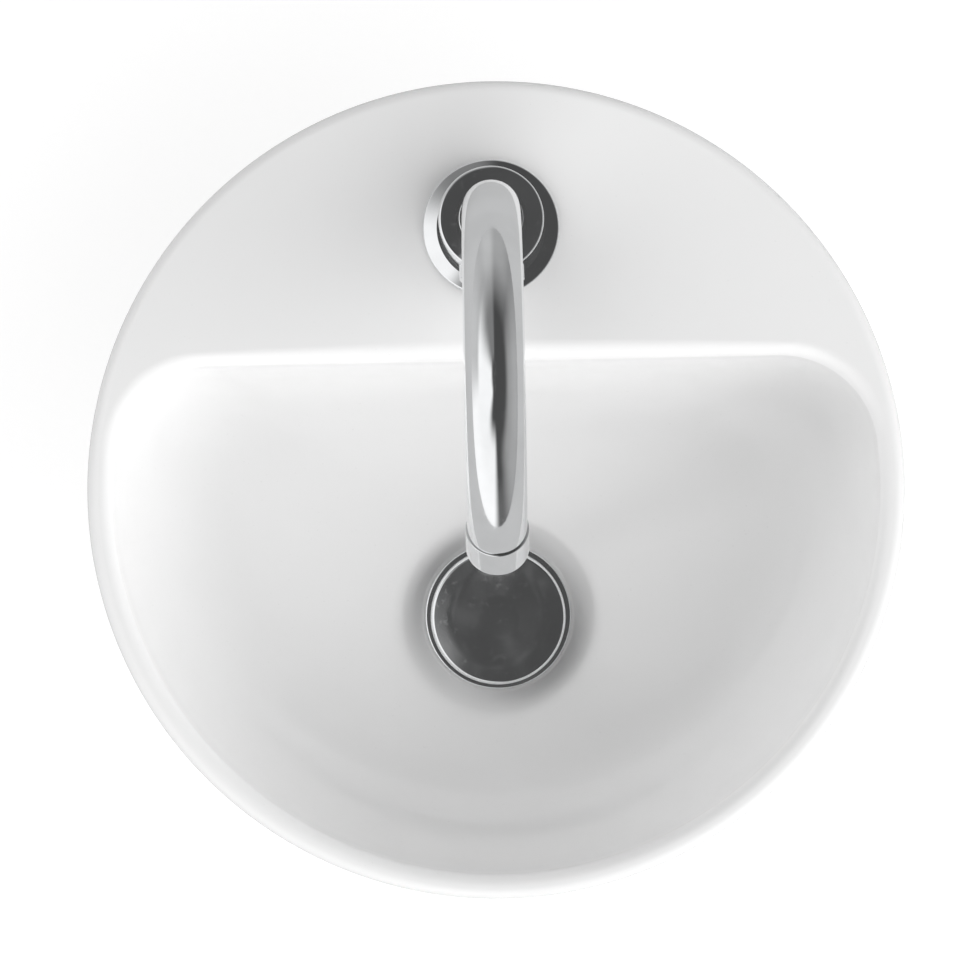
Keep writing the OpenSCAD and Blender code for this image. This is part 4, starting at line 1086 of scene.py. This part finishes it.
def spout_tree():
    """A node tree that sweeps a round tube along a riser that runs on into an arch."""
    tree = bpy.data.node_groups.new("Arched spout", "GeometryNodeTree")
    face = tree.interface
    face.new_socket("Geometry", in_out="INPUT", socket_type="NodeSocketGeometry")
    for name in ("Tube", "Foot", "Riser", "Arch", "Arch Turn", "Tap"):
        face.new_socket(name, in_out="INPUT", socket_type="NodeSocketFloat")
    face.new_socket("Finish", in_out="INPUT", socket_type="NodeSocketMaterial")
    face.new_socket("Geometry", in_out="OUTPUT", socket_type="NodeSocketGeometry")
    board = Board(tree)
    given = board.add("NodeGroupInput", output="Tube")
    line = board.add("GeometryNodeCurvePrimitiveLine")
    fine = board.add("GeometryNodeResampleCurve", {"Curve": line, "Count": 160})
    part = board.add("GeometryNodeSplineParameter", output="Factor")
    rise = given["Riser"] - given["Foot"]
    along = part * (rise + given["Arch"] * given["Arch Turn"])
    bend = (along - rise).at_least(0.0) / given["Arch"]
    y = given["Tap"] - given["Arch"] * (1.0 - bend.cosine())
    z = given["Foot"] + along.at_most(rise) + given["Arch"] * bend.sine()
    spot = board.add("ShaderNodeCombineXYZ", {"Y": y, "Z": z})
    path = board.add("GeometryNodeSetPosition", {"Geometry": fine, "Position": spot})
    round_ = board.add("GeometryNodeCurvePrimitiveCircle", {"Resolution": 96, "Radius": given["Tube"]})
    swept = board.add("GeometryNodeCurveToMesh", {"Curve": path, "Profile Curve": round_})
    real = board.add("GeometryNodeRealizeInstances", {"Geometry": swept})
    done = board.add("GeometryNodeSetMaterial", {"Geometry": real, "Material": given["Finish"]})
    out = tree.nodes.new("NodeGroupOutput")
    tree.links.new(done.socket, out.inputs["Geometry"])
    return tree


class WASHBASIN_OT_spout(PieceOperator, bpy.types.Operator):
    """Makes the arched spout tube and the aerator housing at its end"""

    bl_idname = "washbasin.spout"
    bl_label = "Spout"

    def execute(self, context):
        s = context.scene.washbasin_spout
        tap_y = context.scene.washbasin_basin.tap
        tube = from_tree(
            "arched_tube", spout_tree(), finish_of("chrome"),
            Tube=s.tube, Foot=s.foot, Riser=s.riser, Arch=s.arch, Arch_Turn=s.arch_turn, Tap=tap_y,
        )
        wall = tube.modifiers.new("wall", "SOLIDIFY")
        wall.thickness = s.wall
        wall.offset = -1
        baked(tube)
        dressed(tube, "spout", "chrome", "spout_tube")
        reach_y = tap_y - s.arch * (1 - math.cos(s.arch_turn))
        tip = Vector((0, reach_y, s.riser + s.arch * math.sin(s.arch_turn)))
        place = Matrix.Translation(tip) @ Matrix.Rotation(s.arch_turn, 4, "X")
        reach = s.aerator_length
        housing = turned("aerator_ring", [
            (s.tube - s.recess_step, 0, 0),
            (s.aerator, 0, 0.0005),
            (s.aerator, reach, 0.0008),
            (s.mouth, reach, 0.0006),
            (s.mouth, s.shoulder, 0),
            (s.tube - s.wall, s.shoulder, 0),
            (s.tube - s.wall, s.recess, 0),
            (s.tube - s.recess_step, s.recess, 0),
        ], closed=True)
        dressed(moved(housing, place), "spout", "chrome", "aerator_housing")
        return {"FINISHED"}


class WASHBASIN_OT_inner_parts(PieceOperator, bpy.types.Operator):
    """Gives each CAD part that is still shown the finish of its slot"""

    bl_idname = "washbasin.inner_parts"
    bl_label = "Finish the other parts"

    def execute(self, context):
        for row in frame["record"]["subparts"]:
            node = frame["nodes"][row["node"]]
            if node.hide_render:
                continue
            finish = finish_of(row["material_slot"])
            if not node.material_slots:
                node.data.materials.append(finish)
            for place in node.material_slots:
                place.material = finish
        return {"FINISHED"}


class WASHBASIN_OT_studio(PieceOperator, bpy.types.Operator):
    """Makes the pale floor, the soft lights, the surroundings that the chrome reflects and the camera"""

    bl_idname = "washbasin.studio"
    bl_label = "Studio"

    def execute(self, context):
        s = context.scene.washbasin_studio
        context.scene.view_settings.view_transform = "Standard"
        self.floor(s)
        self.surroundings(context, s)
        view = bpy.data.cameras.new("camera")
        view.lens = s.lens
        view.sensor_width = 36
        view.clip_end = 20
        camera = bpy.data.objects.new("camera", view)
        camera.location = (s.camera_x, s.camera_y, s.camera_height)
        camera.rotation_euler = (0, 0, s.camera_turn)
        context.scene.collection.objects.link(camera)
        context.scene.camera = camera
        return {"FINISHED"}

    def floor(self, s):
        """A floor that is white to the eye and still takes the object's shadow."""
        mesh = bpy.data.meshes.new("floor")
        mesh.from_pydata([(-4, -4, 0), (4, -4, 0), (4, 4, 0), (-4, 4, 0)], [], [(0, 1, 2, 3)])
        floor = new_piece("floor", mesh)
        material = bpy.data.materials.new("pale_floor")
        material.use_nodes = True
        tree = material.node_tree
        tree.nodes.clear()
        board = Board(tree)
        rays = board.add("ShaderNodeLightPath", output="Is Camera Ray")
        seen = rays * s.seen + rays["Is Glossy Ray"] * s.mirrored
        paint = board.add("ShaderNodeBsdfDiffuse", {"Color": (s.paint, s.paint, s.paint, 1.0)})
        glow = board.add("ShaderNodeEmission", {"Strength": seen})
        both = board.add("ShaderNodeAddShader", {0: paint, 1: glow})
        out = tree.nodes.new("ShaderNodeOutputMaterial")
        tree.links.new(both.socket, out.inputs["Surface"])
        mesh.materials.append(material)

    def surroundings(self, context, s):
        """White to the eye, soft lights on the object, and a room with dark and bright sides in chrome."""
        world = bpy.data.worlds.new("surroundings")
        world.use_nodes = True
        context.scene.world = world
        tree = world.node_tree
        tree.nodes.clear()
        board = Board(tree)
        place = board.add("ShaderNodeTexCoord", output="Generated")
        x = board.add("ShaderNodeSeparateXYZ", {0: place}, output="X")
        y, z = x["Y"], x["Z"]
        plumb = (x * x + y * y + 0.0001).root()

        def towards(degrees):
            """1 in the upright plane that faces this way from the right, and -1 in the opposite one."""
            a = math.radians(degrees)
            return (x * math.cos(a) + y * math.sin(a)) / plumb

        def lamp(degrees, height, strength):
            """A soft light, centred this far round from the right and this high."""
            a = math.radians(degrees)
            flat = math.cos(height)
            facing = x * (math.cos(a) * flat) + y * (math.sin(a) * flat) + z * math.sin(height)
            return facing.at_least(0.0).to_power(s.spread) * strength

        left = towards(180).between(-0.15, 0.17) * plumb.between(0.1, 0.26)
        overhead = 1.0 - towards(270).between(0.6, 0.95) * (1.0 - plumb.between(0.4, 0.7))
        fading = 1.0 - towards(100).between(0.3, 0.95) * 0.85
        patch = 1.0 - towards(150).between(0.75, 0.95) * plumb.between(0.84, 0.94) * 0.6
        window = towards(345).between(0.5, 0.95) * plumb.between(0.6, 0.85)
        behind = towards(100).between(0.1, 0.9) * plumb.between(0.6, 1.0)
        fittings = board.noise(board.stretched(place, 1.0, 0.35, 1.0), 55.0, 1.0).between(0.5, 0.72)
        fittings = fittings * (1.0 - plumb.between(0.1, 0.2))
        dark = 0.09 + fittings * 0.09 + plumb.between(0.85, 1.0) * 0.08
        panel = left * overhead * fading * patch * s.panel
        mirrored = dark + panel + window * s.window + behind * s.window
        soft = lamp(0, s.lowered, s.right) + lamp(270, s.lowered, s.front) + lamp(180, s.lowered, s.left)
        soft = soft + lamp(315, s.raised, s.corner) + lamp(135, s.raised, s.behind)
        rays = board.add("ShaderNodeLightPath", output="Is Camera Ray")
        glossy = rays["Is Glossy Ray"]
        level = (glossy * mirrored + (1.0 - glossy) * soft).at_least(rays)
        sky = board.add("ShaderNodeBackground", {"Strength": level})
        out = tree.nodes.new("ShaderNodeOutputWorld")
        tree.links.new(sky.socket, out.inputs["Surface"])


PIECES = (
    WASHBASIN_OT_basin,
    WASHBASIN_OT_waste,
    WASHBASIN_OT_tap_body,
    WASHBASIN_OT_lever,
    WASHBASIN_OT_spout,
    WASHBASIN_OT_inner_parts,
    WASHBASIN_OT_studio,
)


class WASHBASIN_PT_pieces(bpy.types.Panel):
    """Lists the pieces that this file makes, and their sizes and finishes"""

    bl_label = "Washbasin"
    bl_idname = "WASHBASIN_PT_pieces"
    bl_space_type = "VIEW_3D"
    bl_region_type = "UI"
    bl_category = "Washbasin"

    def draw(self, context):
        for piece in PIECES:
            self.layout.operator(piece.bl_idname)
        for name, group in GROUPS:
            box = self.layout.box()
            for size in group.__annotations__:
                box.prop(getattr(context.scene, name), size)


def register():
    for name, group in GROUPS:
        bpy.utils.register_class(group)
        setattr(bpy.types.Scene, name, PointerProperty(type=group))
    for piece in PIECES:
        bpy.utils.register_class(piece)
    bpy.utils.register_class(WASHBASIN_PT_pieces)


def unregister():
    bpy.utils.unregister_class(WASHBASIN_PT_pieces)
    for piece in reversed(PIECES):
        bpy.utils.unregister_class(piece)
    for name, group in reversed(GROUPS):
        delattr(bpy.types.Scene, name)
        bpy.utils.unregister_class(group)


def main():
    register()
    bpy.ops.washbasin.basin()
    bpy.ops.washbasin.waste()
    bpy.ops.washbasin.tap_body()
    bpy.ops.washbasin.lever()
    bpy.ops.washbasin.spout()
    bpy.ops.washbasin.inner_parts()
    bpy.ops.washbasin.studio()


if __name__ == "__main__":
    main()
